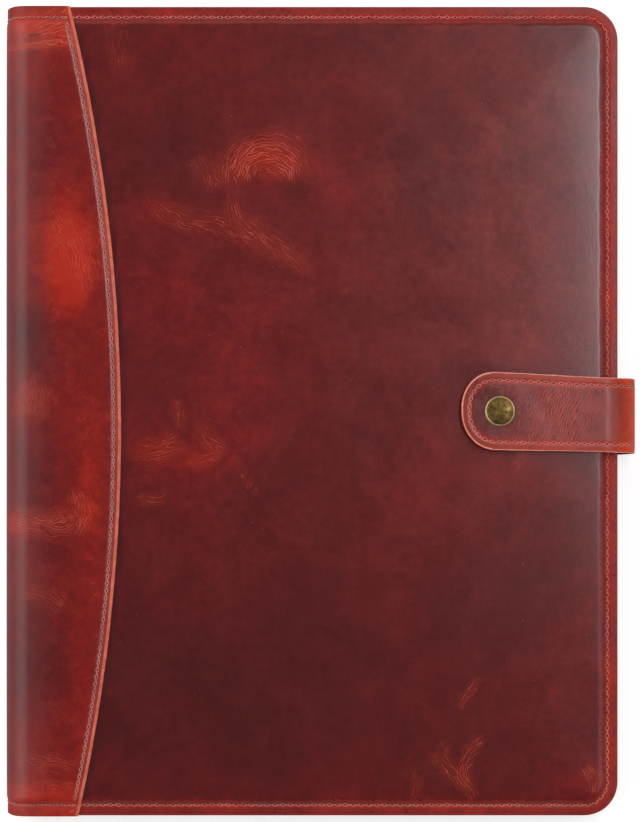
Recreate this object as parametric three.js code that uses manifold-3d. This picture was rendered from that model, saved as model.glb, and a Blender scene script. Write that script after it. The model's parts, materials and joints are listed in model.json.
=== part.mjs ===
// A leather padfolio: two padded covers on a round spine, closed by a strap with a press stud. Inside are a
// writing pad in its sleeve, a document pocket, card pockets and a pen loop. Millimetres. It lies closed with
// its front cover up: +X runs from the spine to the fore-edge, +Y to the head and +Z up from the table.
import * as THREE from "three";
import { mergeVertices } from "three/addons/utils/BufferGeometryUtils.js";
import Module from "manifold-3d";

const wasm = await Module();
wasm.setup();

// Driving dimensions: the covers, which go round the writing pad
const sleeveToForeEdge = 2.6;
const padToHead = 13.5;
const cornerRadius = 13.5;
const leatherThickness = 1.2;
const foamThickness = 0.8;
const boardThickness = 1.2;
const liningThickness = 0.8;
const glueLine = 0.1; // between two plies that are glued or sewn together
const rimWidth = 4.8; // the flat, sewn border round a cover
const slopeWidth = 1.8; // from the border up to the padded panel
const boardClearance = 0.8; // from the foot of that slope to the board
const foldGap = 0.3; // between two rigid pieces on either side of a fold
const spineRimShare = 0.3; // how much of the border's step is left at the middle of the spine

// Driving dimensions: the overlay round the spine
const overlayThickness = 1.2;
const overlayReach = 46.4; // from the spine to the overlay's edge where it is widest
const overlayRadius = 716; // of that curved edge
const overlayBellyDrop = 7.3; // how far below the middle of the cover it is widest
const overlayOverhang = 0.4; // past the head and tail of the leather under it

// Driving dimensions: seams
const threadWidth = 0.8;
const threadThickness = 0.35;
const threadClearance = 0.2; // to each side of the thread in its groove
const edgeSeamInset = 4.2;
const overlaySeamInset = 2.9;
const strapSeamInset = 3.3;

// Driving dimensions: the writing pad and its sleeve
const padWidth = 216;
const padHeight = 298;
const sheetsThickness = 3.6;
const padBackingThickness = 0.7;
const sleeveThickness = 0.9;
const sleeveLip = 3;
const sleeveToBinding = 10; // from the sleeve's mouth to the pad's gummed head
const slideClearance = 0.3; // over and under what slides in the sleeve
const padSideClearance = 0.6;
const padToFrontClearance = 0.4;
const bindingDepth = 24;
const bindingThickness = 0.3;

// Driving dimensions: pockets and pen loop on the inside of the front cover
const pocketThickness = 0.8;
const cardPocketCount = 3;
const cardPocketWidth = 104;
const cardPocketHeight = 90;
const cardPocketToHead = 40.5;
const cardPocketStep = 16;
const cardToDocumentPocket = 17;
const pocketCornerRadius = 2;
const penLoopWidth = 12.6;
const penLoopHeight = 8.4;
const penLoopWall = 0.9;
const penLoopLength = 46;
const penLoopTail = 9;
const penLoopToPocket = 3;
const penLoopSetback = 2.5; // how far the loop reaches into the round of the spine
const penLoopToPad = 3.5;

// Driving dimensions: the strap and its press stud
const strapReach = 7.1; // past the fore-edge
const strapTipWidth = 31.3;
const strapWidth = 30;
const strapTipDepth = 13; // of its rounded end, along the strap
const strapTipNose = 2; // the blunt middle of that end
const strapTipInset = 62.8; // from the fore-edge to the strap's tip
const strapBaseInset = 62;
const strapLiningThickness = 0.9;
const strapSkew = 0.042; // the strap's sideways drift, per millimetre along it
const strapStandOff = 3.2; // from the panel to the underside of the strap
const studInset = 15.4; // from the tip to the middle of the press stud
const capRadius = 6.1;
const capThickness = 1.3;
const capEdge = 0.5;
const postRadius = 1.4;
const postBore = 0.8;
const socketRadius = 4.9;
const socketWall = 0.45;
const studFlangeRadius = 4.4;
const studFlangeThickness = 0.45;
const studHeadRadius = 2.2;
const studNeckRadius = 1.9;
const springWire = 0.5;
const metalClearance = 0.3;
const metalSegments = 28;

// Plies of a cover, as depths below the outer face of the overlay
const overlayPly = { outer: 0, inner: overlayThickness };
const leatherPly = plyUnder(overlayPly, leatherThickness);
const foamPly = plyUnder(leatherPly, foamThickness);
const boardPly = plyUnder(foamPly, boardThickness);
const liningPly = plyUnder(boardPly, liningThickness);
const rimStep = boardPly.inner - leatherPly.inner;

function plyUnder(above, thickness) {
  const outer = above.inner + glueLine;
  return { outer, inner: outer + thickness };
}

// Levels of what lies between the covers
const sleeveRise = slideClearance + padBackingThickness + slideClearance;
const pocketPitch = pocketThickness + glueLine;
const backInside = liningPly.inner;
const padBackingBottom = backInside + slideClearance;
const sleeveBottom = backInside + sleeveRise;
const sleeveTop = sleeveBottom + sleeveThickness;
const sheetsBottom = sleeveTop + slideClearance;
const sheetsTop = sheetsBottom + sheetsThickness;
const frontInside = sheetsTop + padToFrontClearance + cardPocketCount * pocketPitch;
const closedHeight = frontInside + liningPly.inner;

// Places along X and Y
const middleZ = closedHeight / 2;
const spineRadius = middleZ;
const spineToPad = spineRadius - penLoopSetback + penLoopWidth + penLoopToPad;
const coverWidth = spineToPad + padWidth + padSideClearance + sleeveLip + sleeveToForeEdge;
const coverHeight = padHeight + 2 * padToHead;
const spineX = -(coverWidth + strapReach) / 2;
const foreEdgeX = spineX + coverWidth;
const halfHeight = coverHeight / 2;
const spineCentreX = spineX + spineRadius;
const boardInset = rimWidth + slopeWidth + boardClearance;
const boardCornerRadius = cornerRadius - boardInset;
const penLoopLeft = spineCentreX - penLoopSetback;
const penLoopRight = penLoopLeft + penLoopWidth;
const padLeft = spineX + spineToPad;
const pocketLeft = penLoopRight + penLoopTail + penLoopToPocket;
const padTop = padHeight / 2;
const sleeveMouth = padTop - bindingDepth - sleeveToBinding;

// The strap goes round the fore-edge in a half circle, from the top of the cover to the table
const panelTop = closedHeight - leatherPly.outer;
const strapLiningBottom = panelTop + strapStandOff;
const strapLeatherBottom = strapLiningBottom + strapLiningThickness + glueLine;
const strapTop = strapLeatherBottom + leatherThickness;
const strapRadius = strapTop / 2;
const strapCentreX = foreEdgeX + strapReach - strapRadius;
const strapTipX = foreEdgeX - strapTipInset;
const studX = strapTipX + studInset;
const strapLiningDepth = leatherThickness + glueLine;
const studY = 0;

const steps = (count) => Array.from({ length: count + 1 }, (_, i) => i / count);
const smooth = (t) => {
  const u = Math.min(1, Math.max(0, t));
  return u * u * (3 - 2 * u);
};

// Makes a closed geometry with its faces pointing out.
function closed(positions, index) {
  const corner = (i) => new THREE.Vector3().fromArray(positions, 3 * i);
  let volume = 0;
  for (let i = 0; i < index.length; i += 3)
    volume += corner(index[i]).dot(corner(index[i + 1]).cross(corner(index[i + 2])));
  if (volume < 0) index.reverse();
  const geometry = new THREE.BufferGeometry();
  geometry.setAttribute("position", new THREE.Float32BufferAttribute(positions, 3));
  geometry.setIndex(index);
  return geometry;
}

function solidOf(geometry) {
  const bare = geometry.clone();
  bare.deleteAttribute("normal");
  bare.deleteAttribute("uv");
  const merged = mergeVertices(bare, 1e-4);
  const oriented = closed([...merged.attributes.position.array], [...merged.index.array]);
  return new wasm.Manifold(
    new wasm.Mesh({
      numProp: 3,
      vertProperties: oriented.attributes.position.array,
      triVerts: new Uint32Array(oriented.index.array),
    }),
  );
}

function geometryOf(solid) {
  const mesh = solid.getMesh();
  return closed([...mesh.vertProperties], [...mesh.triVerts]);
}

function cut(geometry, ...tools) {
  const solids = tools.map(solidOf);
  return geometryOf(solids.reduce((left, tool) => left.subtract(tool), solidOf(geometry)));
}

function within(geometry, bounds) {
  return geometryOf(solidOf(geometry).intersect(solidOf(bounds)));
}

function joined(...geometries) {
  return geometryOf(geometries.map(solidOf).reduce((all, next) => all.add(next)));
}

// A closed sheet between an outer and an inner face, each a grid of [x, y, z] points.
function sheet(outer, inner) {
  const rows = outer.length;
  const columns = outer[0].length;
  const at = (face, i, j) => (face * rows + i) * columns + j;
  const index = [];
  const quad = (a, b, c, d) => index.push(a, b, c, a, c, d);
  for (let i = 0; i < rows - 1; i += 1) {
    for (let j = 0; j < columns - 1; j += 1) {
      quad(at(0, i, j), at(0, i + 1, j), at(0, i + 1, j + 1), at(0, i, j + 1));
      quad(at(1, i, j), at(1, i, j + 1), at(1, i + 1, j + 1), at(1, i + 1, j));
    }
    quad(at(0, i, 0), at(1, i, 0), at(1, i + 1, 0), at(0, i + 1, 0));
    quad(at(0, i, columns - 1), at(0, i + 1, columns - 1), at(1, i + 1, columns - 1), at(1, i, columns - 1));
  }
  for (let j = 0; j < columns - 1; j += 1) {
    quad(at(0, 0, j), at(0, 0, j + 1), at(1, 0, j + 1), at(1, 0, j));
    quad(at(0, rows - 1, j), at(1, rows - 1, j), at(1, rows - 1, j + 1), at(0, rows - 1, j + 1));
  }
  return closed([...outer.flat(2), ...inner.flat(2)], index);
}

// An XY outline raised from one level to another.
function slab(shape, bottom, top, curveSegments = 10) {
  const geometry = new THREE.ExtrudeGeometry(shape, {
    depth: top - bottom,
    bevelEnabled: false,
    curveSegments,
  });
  return geometry.translate(0, 0, bottom);
}

// An XZ outline that runs along Y, centred on the middle of the cover.
function bar(shape, length, curveSegments = 8) {
  const geometry = new THREE.ExtrudeGeometry(shape, { depth: length, bevelEnabled: false, curveSegments });
  return geometry.rotateX(Math.PI / 2).translate(0, length / 2, 0);
}

// A body of revolution about Z from [radius, height] points.
function turned(profile, x, y) {
  const points = profile.map(([radius, height]) => new THREE.Vector2(radius, height));
  return new THREE.LatheGeometry(points, metalSegments).rotateX(Math.PI / 2).translate(x, y, 0);
}

// A rectangle with its own radius at the corners away from the spine and at those next to it.
function panelShape(left, right, bottom, top, outerRadius, spineSideRadius = 0) {
  const shape = new THREE.Shape();
  shape.moveTo(left + spineSideRadius, bottom);
  shape.lineTo(right - outerRadius, bottom);
  if (outerRadius) shape.absarc(right - outerRadius, bottom + outerRadius, outerRadius, -Math.PI / 2, 0);
  shape.lineTo(right, top - outerRadius);
  if (outerRadius) shape.absarc(right - outerRadius, top - outerRadius, outerRadius, 0, Math.PI / 2);
  shape.lineTo(left + spineSideRadius, top);
  if (spineSideRadius) {
    shape.absarc(left + spineSideRadius, top - spineSideRadius, spineSideRadius, Math.PI / 2, Math.PI);
    shape.lineTo(left, bottom + spineSideRadius);
    shape.absarc(left + spineSideRadius, bottom + spineSideRadius, spineSideRadius, Math.PI, 1.5 * Math.PI);
  }
  shape.closePath();
  return shape;
}

// Turns a piece of the front cover over, about the plane midway between the covers.
const overleaf = (geometry) => {
  const turnedOver = geometry.clone().scale(1, 1, -1).translate(0, 0, closedHeight);
  const index = turnedOver.index ?? mergeVertices(turnedOver).index;
  return closed([...turnedOver.attributes.position.array], [...index.array]);
};

// Stations across a cover: round the spine by angle above its middle, then flat by x
const foldAngle = Math.PI / 4;
const foldAllowance = foldGap / 2 / (spineRadius - liningPly.inner);

function roundStation(angle) {
  const across = -Math.cos(angle);
  const up = Math.sin(angle);
  return {
    at: (depth) => [spineCentreX + across * (spineRadius - depth), middleZ + up * (spineRadius - depth)],
    x: spineCentreX + across * spineRadius,
    rimShare: spineRimShare + (1 - spineRimShare) * smooth(Math.abs(angle) / (Math.PI / 2)),
    flat: false,
  };
}

function flatStation(x) {
  return { at: (depth) => [x, closedHeight - depth], x, rimShare: 1, flat: true };
}

const spineToCover = steps(4).map((t) =>
  roundStation(foldAngle + foldAllowance + t * (foldAngle - foldAllowance)),
);
const slopeSteps = steps(3).map((t) => rimWidth + t * slopeWidth);
const cornerSteps = steps(6).map((t) => rimWidth + slopeWidth + t * (cornerRadius - rimWidth - slopeWidth));
const edgeSteps = [...slopeSteps, ...cornerSteps.slice(1)];
const coverStations = [
  ...spineToCover,
  ...edgeSteps.map((inset) => flatStation(foreEdgeX - inset)).reverse(),
  flatStation(foreEdgeX),
];
const spineStations = steps(8).map((t) => roundStation((2 * t - 1) * (foldAngle - foldAllowance)));

// Rows from tail to head, close together near the ends
function rowsTo(overhang) {
  const upper = [...edgeSteps.map((inset) => halfHeight - inset).reverse(), halfHeight + overhang];
  return [...upper.map((y) => -y).reverse(), ...upper];
}

// How far the border sinks below the padded panel: 0 on the panel, 1 on the border.
function borderShare(x, y) {
  const fromEnd = Math.max(0, halfHeight - Math.abs(y));
  const fromFore = foreEdgeX - x;
  const inCorner = fromEnd < cornerRadius && fromFore < cornerRadius;
  const reach = Math.hypot(cornerRadius - fromEnd, cornerRadius - fromFore);
  const inset = inCorner ? cornerRadius - reach : Math.min(fromEnd, fromFore);
  return 1 - smooth((inset - rimWidth) / slopeWidth);
}

// A ply of outer leather or overlay: it sinks to the border along the cover's edges.
function outerPly(stations, ply, overhang) {
  const face = (depth) =>
    stations.map((station) =>
      rowsTo(overhang).map((y) => {
        const [x, z] = station.at(depth + rimStep * station.rimShare * borderShare(station.x, y));
        return [x, y, z];
      }),
    );
  return sheet(face(ply.outer), face(ply.inner));
}

// A ply inside the cover, which stays level out to its ends.
function innerPly(stations, halfLength, outerDepth, innerDepth) {
  const face = (depth) =>
    stations.map((station) =>
      [-halfLength, halfLength].map((y) => {
        const [x, z] = station.at(depth(station));
        return [x, y, z];
      }),
    );
  return sheet(face(outerDepth), face(innerDepth));
}

// The area inside the border that holds board and foam
function paddedShape(left) {
  const end = halfHeight - boardInset;
  return panelShape(left, foreEdgeX - boardInset, -end, end, boardCornerRadius);
}

function coverOutline() {
  const shape = panelShape(spineX - past, foreEdgeX, -halfHeight, halfHeight, cornerRadius);
  return slab(shape, -past, closedHeight + past);
}

// A thin band, such as a row of thread, that follows a cover's edge on three sides.
function edgeBand(inset, width, left, bottom, top) {
  const shape = new THREE.Shape();
  const side = (reach, turn) => {
    const radius = cornerRadius - reach;
    const x = foreEdgeX - cornerRadius;
    const y = halfHeight - cornerRadius;
    const run = [new THREE.Vector2(left, -halfHeight + reach)];
    for (const t of steps(8)) {
      const angle = -Math.PI / 2 + (t * Math.PI) / 2;
      run.push(new THREE.Vector2(x + radius * Math.cos(angle), -y + radius * Math.sin(angle)));
    }
    for (const t of steps(8)) {
      const angle = (t * Math.PI) / 2;
      run.push(new THREE.Vector2(x + radius * Math.cos(angle), y + radius * Math.sin(angle)));
    }
    run.push(new THREE.Vector2(left, halfHeight - reach));
    return turn ? run.reverse() : run;
  };
  shape.setFromPoints([...side(inset - width / 2, false), ...side(inset + width / 2, true)]);
  return slab(shape, bottom, top);
}

// The overlay's curved edge, drawn in by an inset, from tail to head
const overlayCentreX = spineX + overlayReach - overlayRadius;

function overlayArc(inset, halfLength, count = 16) {
  const radius = overlayRadius - inset;
  return steps(count).map((t) => {
    const y = (2 * t - 1) * halfLength;
    const away = y + overlayBellyDrop;
    return new THREE.Vector2(overlayCentreX + Math.sqrt(radius * radius - away * away), y);
  });
}

function overlayOutline() {
  const reach = halfHeight + overlayOverhang + past;
  const shape = new THREE.Shape();
  shape.setFromPoints([
    new THREE.Vector2(spineX - past, -reach),
    ...overlayArc(0, reach),
    new THREE.Vector2(spineX - past, reach),
  ]);
  return slab(shape, -past, closedHeight + past);
}

function overlayBand(width, bottom, top) {
  const end = halfHeight - boardInset;
  const shape = new THREE.Shape();
  shape.setFromPoints([
    ...overlayArc(overlaySeamInset - width / 2, end),
    ...overlayArc(overlaySeamInset + width / 2, end).reverse(),
  ]);
  return slab(shape, bottom, top);
}

const past = 1; // how far a cutter runs past what it cuts
const grooveWidth = threadWidth + 2 * threadClearance;
const grooveDepth = threadThickness + glueLine;
const rimTop = closedHeight - leatherPly.outer - rimStep;
const edgeSeamLeft = overlayCentreX + overlayRadius + threadClearance;

// The front cover's plies
const grooveLeft = edgeSeamLeft - threadClearance;
const frontSeamGroove = edgeBand(edgeSeamInset, grooveWidth, grooveLeft, rimTop - grooveDepth, rimTop + past);
const frontThread = edgeBand(edgeSeamInset, threadWidth, edgeSeamLeft, rimTop - threadThickness, rimTop);
const outerLeather = within(outerPly(coverStations, leatherPly, 0), coverOutline());
const studHole = () => turned(rod(postRadius + metalClearance, 0, closedHeight), studX, studY);

function rod(radius, bottom, top) {
  return [
    [0, bottom],
    [radius, bottom],
    [radius, top],
    [0, top],
  ];
}

function coverOverlay() {
  const whole = within(outerPly(coverStations, overlayPly, overlayOverhang), overlayOutline());
  return cut(whole, overlayBand(grooveWidth, closedHeight - grooveDepth, closedHeight + past));
}

function coverFoam() {
  const turn = flatStation(spineCentreX + foamThickness + boardThickness);
  const stations = [...spineToCover, turn, flatStation(foreEdgeX - boardInset)];
  const innerDepth = (station) => (station.flat ? foamPly.inner : boardPly.inner);
  const whole = innerPly(stations, halfHeight - boardInset, () => foamPly.outer, innerDepth);
  return within(whole, slab(paddedShape(spineX - past), -past, closedHeight + past));
}

function coverBoard() {
  const left = spineCentreX + foamThickness + boardThickness + boardClearance;
  return slab(paddedShape(left), closedHeight - boardPly.inner, closedHeight - boardPly.outer);
}

function coverLining() {
  const stations = [...spineToCover, flatStation(foreEdgeX)];
  const whole = innerPly(stations, halfHeight, () => liningPly.outer, () => liningPly.inner);
  return within(whole, coverOutline());
}

// The spine's plies
function spinePly(ply, overhang) {
  return outerPly(spineStations, ply, overhang);
}

function spineFoam() {
  return innerPly(spineStations, halfHeight - boardInset, () => foamPly.outer, () => boardPly.inner);
}

function spineLining() {
  return innerPly(spineStations, halfHeight, () => liningPly.outer, () => liningPly.inner);
}

// Inside the back cover: the sleeve that the pad's backing slides into from the head
function padSleeve() {
  const left = padLeft - padSideClearance - sleeveLip;
  const right = padLeft + padWidth + padSideClearance + sleeveLip;
  const bottom = -padTop - padSideClearance - sleeveLip;
  const panel = slab(panelShape(left, right, bottom, sleeveMouth, 0), backInside + glueLine, sleeveTop);
  const mouth = panelShape(left + sleeveLip, right - sleeveLip, bottom + sleeveLip, sleeveMouth + past, 0);
  return cut(panel, slab(mouth, backInside - past, sleeveBottom));
}

function padBacking() {
  const shape = panelShape(padLeft, padLeft + padWidth, -padTop, padTop, 0);
  return slab(shape, padBackingBottom, padBackingBottom + padBackingThickness);
}

function padSheets() {
  return slab(panelShape(padLeft, padLeft + padWidth, -padTop, padTop, 0), sheetsBottom, sheetsTop);
}

// The pad's gummed head: a tape over the sheets and under the backing, filled in between them.
function padBinding() {
  const head = padTop + glueLine;
  const back = padTop - bindingDepth;
  const tape = (bottom, top) =>
    slab(panelShape(padLeft, padLeft + padWidth, back, head + bindingThickness, 0), bottom, top);
  const web = slab(
    panelShape(padLeft, padLeft + padWidth, head, head + bindingThickness, 0),
    padBackingBottom - glueLine - bindingThickness / 3,
    sheetsTop + glueLine + bindingThickness,
  );
  return joined(
    web,
    tape(padBackingBottom - glueLine - bindingThickness / 3, padBackingBottom - glueLine),
    tape(padBackingBottom + padBackingThickness + glueLine, sheetsBottom - glueLine),
    tape(sheetsTop + glueLine, sheetsTop + glueLine + bindingThickness),
  );
}

// Inside the front cover: each pocket is a panel that hangs one ply lower than the last
function pocketPanel(left, right, bottom, top, layer) {
  const upper = frontInside - glueLine - (layer - 1) * pocketPitch;
  const shape = panelShape(left, right, bottom, top, pocketCornerRadius, pocketCornerRadius);
  return slab(shape, upper - pocketThickness, upper, 4);
}

function documentPocket() {
  const mouth = halfHeight - cardPocketToHead - cardPocketHeight - cardToDocumentPocket;
  return pocketPanel(pocketLeft, foreEdgeX - boardInset, -halfHeight + boardInset, mouth, 1);
}

function cardPocket(number) {
  const top = halfHeight - cardPocketToHead;
  const mouth = top - (number - 1) * cardPocketStep;
  return pocketPanel(pocketLeft, pocketLeft + cardPocketWidth, top - cardPocketHeight, mouth, number);
}

function penLoop() {
  const top = frontInside - glueLine;
  const radius = penLoopHeight / 2;
  const oval = (wall) => {
    const shape = new THREE.Shape();
    const bend = radius - wall;
    shape.absarc(penLoopRight - radius, top - radius, bend, -Math.PI / 2, Math.PI / 2);
    shape.absarc(penLoopLeft + radius, top - radius, bend, Math.PI / 2, 1.5 * Math.PI);
    return shape;
  };
  const tail = panelShape(penLoopRight - radius, penLoopRight + penLoopTail, top - penLoopWall, top, 0);
  const outside = joined(bar(oval(0), penLoopLength), bar(tail, penLoopLength));
  return cut(outside, bar(oval(penLoopWall), penLoopLength + 2 * past));
}

// Stations along the strap, from its tip over the fore-edge and under the back cover
const strapBendStart = strapCentreX - strapTipX;
const strapFoldAllowance = foldGap / 2 / (strapRadius - strapLiningDepth - strapLiningThickness);

// Half the strap's width, drawn in by an inset, with an elliptical end.
function strapHalfWidth(along, inset = 0) {
  const toBend = Math.min(along, strapBendStart) / strapBendStart;
  const widest = (strapTipWidth + toBend * (strapWidth - strapTipWidth)) / 2 - inset;
  const depth = strapTipDepth - inset;
  const short = Math.max(0, strapTipDepth - along) / depth;
  const nose = strapTipNose / 2;
  return nose + (widest - nose) * Math.sqrt(Math.max(0, 1 - short * short));
}

const strapMiddle = (along) => studY - strapSkew * (along - studInset);

function strapTopStation(along) {
  return { along, at: (depth) => [strapTipX + along, strapTop - depth] };
}

function strapRoundStation(angle) {
  return {
    along: strapBendStart + strapRadius * (Math.PI / 2 - angle),
    at: (depth) => [
      strapCentreX + (strapRadius - depth) * Math.cos(angle),
      strapRadius + (strapRadius - depth) * Math.sin(angle),
    ],
  };
}

function strapUnderStation(past) {
  return {
    along: strapBendStart + Math.PI * strapRadius + past,
    at: (depth) => [strapCentreX - past, depth],
  };
}

function strapPly(stations, outerDepth, innerDepth) {
  const face = (depth) =>
    stations.map((station) =>
      [-1, 1].map((side) => {
        const [x, z] = station.at(depth);
        return [x, strapMiddle(station.along) + side * strapHalfWidth(station.along), z];
      }),
    );
  return sheet(face(outerDepth), face(innerDepth));
}

const strapTipAlong = (inset) =>
  steps(8).map((t) => strapTipDepth - (strapTipDepth - inset) * Math.cos((t * Math.PI) / 2));
const strapTipStations = strapTipAlong(0).map(strapTopStation);
const flapBend = steps(4).map((t) => strapRoundStation(Math.PI / 2 - t * (foldAngle - strapFoldAllowance)));
const wrapStations = steps(8).map((t) => strapRoundStation((1 - 2 * t) * (foldAngle - strapFoldAllowance)));
const baseBend = steps(4).map((t) =>
  strapRoundStation(-foldAngle - strapFoldAllowance - t * (foldAngle - strapFoldAllowance)),
);
const strapBaseLength = strapCentreX - (foreEdgeX - strapBaseInset);

// A thin band that follows the strap's edge round its tip, at a level from bottom to top.
function strapBand(width, bottom, top) {
  const points = (inset) => {
    const alongs = [...strapTipAlong(inset), strapBendStart];
    const edge = (along, side) =>
      new THREE.Vector2(strapTipX + along, strapMiddle(along) + side * strapHalfWidth(along, inset));
    return [...alongs.map((along) => edge(along, 1)).reverse(), ...alongs.map((along) => edge(along, -1))];
  };
  const shape = new THREE.Shape();
  const inner = points(strapSeamInset + width / 2).reverse();
  shape.setFromPoints([...points(strapSeamInset - width / 2), ...inner]);
  return slab(shape, bottom, top);
}

function flapLeather() {
  const whole = strapPly([...strapTipStations, ...flapBend], 0, leatherThickness);
  return cut(whole, strapBand(grooveWidth, strapTop - grooveDepth, strapTop + past), capPostHole());
}

function flapLining() {
  const inner = strapLiningDepth + strapLiningThickness;
  return cut(strapPly([...strapTipStations, ...flapBend], strapLiningDepth, inner), capPostHole());
}

function capPostHole() {
  const hole = rod(postRadius + metalClearance, strapLiningBottom - past, strapTop + past);
  return turned(hole, studX, studY);
}

// The strap's end is sewn flat to the back cover with a box of stitches
const baseSeamLeft = foreEdgeX - strapBaseInset + strapSeamInset;
const baseSeamRight = strapCentreX - strapSeamInset;

function baseBand(width, bottom, top) {
  const along = (x) => strapBendStart + Math.PI * strapRadius + strapCentreX - x;
  const corner = (x, side, inset) =>
    new THREE.Vector2(x, strapMiddle(along(x)) + side * (strapWidth / 2 - strapSeamInset - inset));
  const box = (inset) => [
    corner(baseSeamLeft + inset, -1, inset),
    corner(baseSeamRight - inset, -1, inset),
    corner(baseSeamRight - inset, 1, inset),
    corner(baseSeamLeft + inset, 1, inset),
  ];
  const shape = new THREE.Shape(box(-width / 2));
  shape.holes.push(new THREE.Path(box(width / 2)));
  return slab(shape, bottom, top);
}

function strapBase() {
  const whole = strapPly([...baseBend, strapUnderStation(strapBaseLength)], 0, leatherThickness);
  return cut(whole, baseBand(grooveWidth, -past, grooveDepth));
}

// The press stud, from the cap down to the post under the front leather
const socketTop = strapLiningBottom - glueLine;
const studFlangeBottom = panelTop + glueLine;
const studFlangeTop = studFlangeBottom + studFlangeThickness;
const socketBottom = studFlangeTop + metalClearance;
const springMiddle = socketBottom + metalClearance + springWire / 2;
const studHeadBottom = springMiddle + springWire / 2;
const springInner = studNeckRadius + metalClearance / 3;
const cavityRadius = Math.max(springInner + springWire, studHeadRadius) + metalClearance / 2;
const cavityTop = socketTop - socketWall;
const capPostEnd = cavityTop - metalClearance;
const studHeadTop = capPostEnd - metalClearance;

function snapCap() {
  const under = strapTop + glueLine;
  const top = under + capThickness;
  return turned(
    [
      [0, under],
      [postBore, under],
      [postBore, capPostEnd],
      [postRadius, capPostEnd],
      [postRadius, under],
      [capRadius - capEdge, under],
      [capRadius, under + capEdge],
      [capRadius, top - 1.2 * capEdge],
      [capRadius - capEdge / 2, top - capEdge / 2],
      [capRadius - capEdge * 2, top - capEdge / 5],
      [0, top],
    ],
    studX,
    studY,
  );
}

function snapSocket() {
  const hole = postRadius + metalClearance / 2;
  return turned(
    [
      [hole, cavityTop],
      [cavityRadius, cavityTop],
      [cavityRadius, socketBottom],
      [cavityRadius + socketWall, socketBottom],
      [cavityRadius + socketWall, cavityTop - socketWall],
      [socketRadius - socketWall, cavityTop - socketWall],
      [socketRadius, cavityTop],
      [socketRadius, socketTop],
      [hole, socketTop],
      [hole, cavityTop],
    ],
    studX,
    studY,
  );
}

function snapSpring() {
  const middle = springInner + springWire / 2;
  const ring = steps(6).map((t) => [
    middle + (springWire / 2) * Math.cos(2 * Math.PI * t),
    springMiddle + (springWire / 2) * Math.sin(2 * Math.PI * t),
  ]);
  return turned(ring, studX, studY);
}

function snapStud() {
  const bore = postRadius + metalClearance / 2;
  return turned(
    [
      [bore, studFlangeBottom],
      [studFlangeRadius, studFlangeBottom],
      [studFlangeRadius, studFlangeTop - studFlangeThickness / 2],
      [studFlangeRadius - studFlangeThickness / 2, studFlangeTop],
      [studNeckRadius, studFlangeTop],
      [studNeckRadius, studHeadBottom],
      [studHeadRadius, (studHeadBottom + studHeadTop) / 2],
      [studNeckRadius, studHeadTop],
      [0, studHeadTop],
      [0, studHeadTop - metalClearance],
      [bore, studHeadTop - metalClearance],
      [bore, studFlangeBottom],
    ],
    studX,
    studY,
  );
}

const postFlangeTop = closedHeight - leatherPly.inner - glueLine;
const postFlangeRadius = studFlangeRadius - metalClearance;

function foamHole() {
  const hole = rod(studFlangeRadius, closedHeight - foamPly.inner - glueLine, postFlangeTop + past);
  return turned(hole, studX, studY);
}

function snapPost() {
  const flangeBottom = closedHeight - foamPly.inner;
  return turned(
    [
      [0, flangeBottom],
      [postFlangeRadius, flangeBottom],
      [postFlangeRadius, postFlangeTop],
      [postRadius, postFlangeTop],
      [postRadius, studHeadTop - 2 * metalClearance],
      [0, studHeadTop - 2 * metalClearance],
    ],
    studX,
    studY,
  );
}

// Finishes
const finish = (color, roughness, metalness = 0) => new THREE.MeshStandardMaterial({ color, roughness, metalness });
const pullUpLeather = finish(0x67211f, 0.5);
const overlayLeather = finish(0x86261f, 0.48);
const strapLeather = finish(0x8c322b, 0.5);
const liningLeather = finish(0x7a2c24, 0.65);
const thread = finish(0xc8504a, 0.7);
const foam = finish(0xd9d2c4, 0.95);
const greyBoard = finish(0x8f8779, 0.9);
const agedBrass = finish(0x75663a, 0.35, 1);
const paper = finish(0xf4f1e6, 0.9);
const bindingTape = finish(0x8a1f1c, 0.7);

function piece(name, geometry, material) {
  const mesh = new THREE.Mesh(geometry, material);
  mesh.name = name;
  return mesh;
}

function group(...pieces) {
  const made = new THREE.Group();
  made.add(...pieces);
  return made;
}

const frontCover = group(
  piece("front_leather", cut(outerLeather, frontSeamGroove, studHole()), pullUpLeather),
  piece("front_overlay", coverOverlay(), overlayLeather),
  piece("front_foam", cut(coverFoam(), foamHole()), foam),
  piece("front_board", coverBoard(), greyBoard),
  piece("front_lining", coverLining(), liningLeather),
  piece("front_edge_thread", frontThread, thread),
  piece("front_overlay_thread", overlayBand(threadWidth, closedHeight - threadThickness, closedHeight), thread),
  piece("document_pocket", documentPocket(), liningLeather),
  ...steps(cardPocketCount - 1).map((_, i) => piece(`card_pocket_${i + 1}`, cardPocket(i + 1), liningLeather)),
  piece("pen_loop", penLoop(), liningLeather),
  piece("snap_stud", snapStud(), agedBrass),
  piece("snap_post", snapPost(), agedBrass),
);

const spine = group(
  piece("spine_leather", spinePly(leatherPly, 0), pullUpLeather),
  piece("spine_overlay", spinePly(overlayPly, overlayOverhang), overlayLeather),
  piece("spine_foam", spineFoam(), foam),
  piece("spine_lining", spineLining(), liningLeather),
);

const backCover = group(
  piece("back_leather", overleaf(cut(outerLeather, frontSeamGroove)), pullUpLeather),
  piece("back_overlay", overleaf(coverOverlay()), overlayLeather),
  piece("back_foam", overleaf(coverFoam()), foam),
  piece("back_board", overleaf(geometryOf(solidOf(coverBoard()))), greyBoard),
  piece("back_lining", overleaf(coverLining()), liningLeather),
  piece("back_edge_thread", overleaf(geometryOf(solidOf(frontThread))), thread),
  piece("back_overlay_thread", overlayBand(threadWidth, 0, threadThickness), thread),
  piece("pad_sleeve", padSleeve(), liningLeather),
  piece("strap_base", strapBase(), strapLeather),
  piece("strap_base_thread", baseBand(threadWidth, 0, threadThickness), thread),
);

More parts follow.
